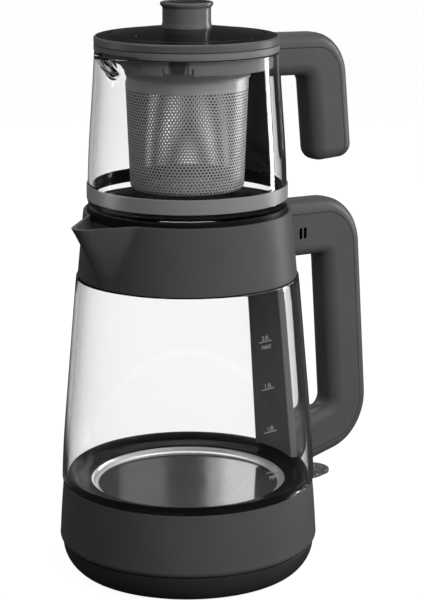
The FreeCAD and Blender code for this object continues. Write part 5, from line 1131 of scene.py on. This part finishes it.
spots, faces = [], []
for height, above, below in marks["rows"]:
    labels = ((above, marks["above"]), (below, marks["below"]))
    parts = [textMesh(body, x, height + z) for body, (x, z) in labels if body]
    lineEnd = [(height, 0), (height, marks["thick"]), (height + marks["lineHigh"], marks["thick"]),
               (height + marks["lineHigh"], 0)]
    parts.append(stacked([[(x, z, out) for z, out in lineEnd]
                          for x in np.linspace(marks["lineLeft"], marks["lineRight"], marks["lineColumns"])]))
    for partSpots, partFaces in parts:
        offset = len(spots)
        spots += partSpots
        faces += [[i + offset for i in face] for face in partFaces]
bent = []
for x, z, out in spots:
    r = kettleRadius(z) + marks["lift"] + out
    turn = math.radians(-90) + x / r
    bent.append((r * math.cos(turn), r * math.sin(turn), z))
marksPiece = objectFrom("levelMarks", outward(meshFrom("levelMarks", bent, faces)))
seat(marksPiece, printGrey, "kettle_glass", replace=False)
print("level marks made")

# studio: floor and surroundings are white to the eye and through glass, and a dim room with a paler ceiling
# in reflections; a key softbox at the right, a fill over the front, two soft lamps behind, a strip at the far
# right, and small strips that only some pieces see
light = {"ambient": 0.30, "mirrored": 0.055, "ceiling": 0.45, "ceilingRamp": (0.50, 0.75),
         "floorSize": 6.0, "floorColour": 0.12, "floorGlow": 0.95, "floorMirrored": 0.02,
         # glow behind the left of the set for rays led on inside a glass wall, and where it fades, in metres
         "edgeGlow": 0.60, "edgeRamp": (0.15, 0.45), "edgeRampX": (-0.16, -0.02), "edgeRampY": (0.28, 0.42)}
lamps = {  # place, height aimed at, width and height, watts, seen in gloss and through glass
    "keySoftbox": ((0.45, -1.50, 0.66), 0.18, (0.7, 1.0), 17.5, False),
    "frontFill": ((-0.45, -1.35, 1.20), 0.20, (0.6, 0.6), 7.0, False),
    "backFill": ((0.10, 1.60, 0.60), 0.20, (0.8, 0.8), 11.0, False),
    "rearTopSoftbox": ((0.62, 0.73, 1.10), 0.15, (0.5, 0.5), 2.2, True),
    "rightStrip": ((1.32, -0.36, 0.42), 0.20, (0.14, 1.10), 6.0, True),
    "plateStripWide": ((1.041, 1.079, 0.62), 0.10, (0.122, 0.90), 0.19, True),
    "plateStripNarrow": ((1.051, 1.070, 0.62), 0.10, (0.092, 0.90), 0.16, True),
    "plateStripLeft": ((0.908, 1.193, 0.62), 0.10, (0.09, 0.90), 0.045, True),
    "rimStrip": ((1.30, 0.0, 0.50), 0.06, (0.6, 0.25), 3.5, True),
    "leftStrip": ((-1.00, 1.00, 0.35), 0.28, (0.35, 0.9), 2.5, True)}
litPieces = {  # the pieces that a strip lights; the other lamps light everything
    ("plateStripWide", "plateStripNarrow", "plateStripLeft", "rimStrip"):
        ("heatingPlate", "clampRing", "kettleGlass"),
    ("leftStrip",): ("teapotBand", "infuserBasket", "infuserRim", "lidDisc")}


def rayMasks(tree):
    # seen: rays that come straight from the eye or through glass; mirrored: rays that bounced off something
    # glossy; along: mirrored rays that were led on inside one glass wall
    path = addNode(tree, "ShaderNodeLightPath").outputs
    soft = addNode(tree, "ShaderNodeMath", (path["Diffuse Depth"], 0.5), operation="LESS_THAN")
    plain = addNode(tree, "ShaderNodeMath", (path["Glossy Depth"], 0.5), operation="LESS_THAN")
    shiny = addNode(tree, "ShaderNodeMath", (1.0, plain), operation="SUBTRACT")
    through = addNode(tree, "ShaderNodeMath", (path["Is Transmission Ray"], plain), operation="MULTIPLY")
    through = addNode(tree, "ShaderNodeMath", (through, soft), operation="MULTIPLY")
    seen = addNode(tree, "ShaderNodeMath", (path["Is Camera Ray"], through), operation="MAXIMUM")
    mirrored = addNode(tree, "ShaderNodeMath", (shiny, soft), operation="MULTIPLY")
    twice = addNode(tree, "ShaderNodeMath", (path["Transmission Depth"], 2.0, 0.5), operation="COMPARE")
    along = addNode(tree, "ShaderNodeMath", (mirrored, twice), operation="MULTIPLY")
    return seen, mirrored, along


half = light["floorSize"]
floorMesh = bpy.data.meshes.new("studioFloor")
corners = [(-half, -half, 0), (half, -half, 0), (half, half, 0), (-half, half, 0)]
floorMesh.from_pydata(corners, [], [(0, 1, 2, 3)])
floor = objectFrom("studioFloor", floorMesh)
material, tree = newMaterial("paleFloor")
seen, mirrored, along = rayMasks(tree)
shade = addNode(tree, "ShaderNodeMapRange", (mirrored, 0.0, 1.0, light["floorColour"],
                                             light["floorMirrored"]))
diffuse = addNode(tree, "ShaderNodeBsdfDiffuse", {"Color": shade})
strength = addNode(tree, "ShaderNodeMath", (mirrored, light["floorMirrored"]), operation="MULTIPLY")
strength = addNode(tree, "ShaderNodeMath", (seen, light["floorGlow"], strength), operation="MULTIPLY_ADD")
point = addNode(tree, "ShaderNodeTexCoord").outputs["Object"]
place = addNode(tree, "ShaderNodeSeparateXYZ", (point,)).outputs
farLeft = addNode(tree, "ShaderNodeMath", (place[1], place[0]), operation="SUBTRACT")
lifted = addNode(tree, "ShaderNodeMapRange", (farLeft, *light["edgeRamp"], 0.0, light["edgeGlow"]))
for coordinate, ramp in ((place[0], light["edgeRampX"]), (place[1], light["edgeRampY"])):
    fade = addNode(tree, "ShaderNodeMapRange", (coordinate, *ramp))
    lifted = addNode(tree, "ShaderNodeMath", (lifted, fade), operation="MULTIPLY")
strength = addNode(tree, "ShaderNodeMath", (along, lifted, strength), operation="MULTIPLY_ADD")
glow = addNode(tree, "ShaderNodeEmission", {"Color": (1, 1, 1, 1), "Strength": strength})
addNode(tree, "ShaderNodeOutputMaterial", (addNode(tree, "ShaderNodeAddShader", (diffuse, glow)),))
floorMesh.materials.append(material)
floor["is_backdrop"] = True

world = bpy.data.worlds.new("studio")
bpy.context.scene.world = world
world.use_nodes = True
tree = world.node_tree
tree.nodes.clear()
seen, mirrored, along = rayMasks(tree)
upwards = addNode(tree, "ShaderNodeSeparateXYZ", (addNode(tree, "ShaderNodeTexCoord").outputs["Generated"],))
ceiling = addNode(tree, "ShaderNodeMapRange", (upwards.outputs[2], *light["ceilingRamp"],
                                               light["mirrored"] - light["ambient"],
                                               light["ceiling"] - light["ambient"]))
strength = addNode(tree, "ShaderNodeMath", (mirrored, ceiling, light["ambient"]), operation="MULTIPLY_ADD")
strength = addNode(tree, "ShaderNodeMath", (strength, seen), operation="MAXIMUM")
backdrop = addNode(tree, "ShaderNodeBackground", {"Color": (1, 1, 1, 1), "Strength": strength})
addNode(tree, "ShaderNodeOutputWorld", (backdrop,))


def areaLight(name, place, aimHeight, size, watts, mirrored):
    lamp = bpy.data.lights.new(name, "AREA")
    lamp.shape, lamp.size, lamp.size_y, lamp.energy = "RECTANGLE", *size, watts
    holder = objectFrom(name, lamp)
    holder.location = place
    holder.rotation_euler = (Vector((0, 0, aimHeight)) - Vector(place)).to_track_quat("-Z", "Y").to_euler()
    holder.visible_camera = False
    holder.visible_transmission = holder.visible_glossy = mirrored
    return holder


holders = {name: areaLight(name, *values) for name, values in lamps.items()}
for lampNames, pieceNames in litPieces.items():
    lit = bpy.data.collections.new("litBy" + lampNames[0])
    for name in pieceNames:
        lit.objects.link(bpy.data.objects[name])
    for name in lampNames:
        holders[name].light_linking.receiver_collection = lit

view = {"lens": 122.44, "sensor": 36.0, "clipEnd": 50, "place": (-0.8309, -0.9763, 0.4919), "turn": 0.707,
        "tilt": 13.756, "azimuth": -40.4}
camera = bpy.data.cameras.new("studioCamera")
camera.lens, camera.sensor_width, camera.clip_end = view["lens"], view["sensor"], view["clipEnd"]
eye = objectFrom("studioCamera", camera)
turn, tilt = math.radians(view["turn"]), math.radians(view["tilt"])
forward = Vector((math.sin(turn) * math.cos(tilt), math.cos(turn) * math.cos(tilt), -math.sin(tilt)))
forward.rotate(Matrix.Rotation(math.radians(view["azimuth"]), 3, "Z"))
eye.location = view["place"]
eye.rotation_euler = forward.to_track_quat("-Z", "Y").to_euler()
bpy.context.scene.camera = eye
bpy.context.scene.view_settings.view_transform = "Standard"
print("studio made")

low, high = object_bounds()
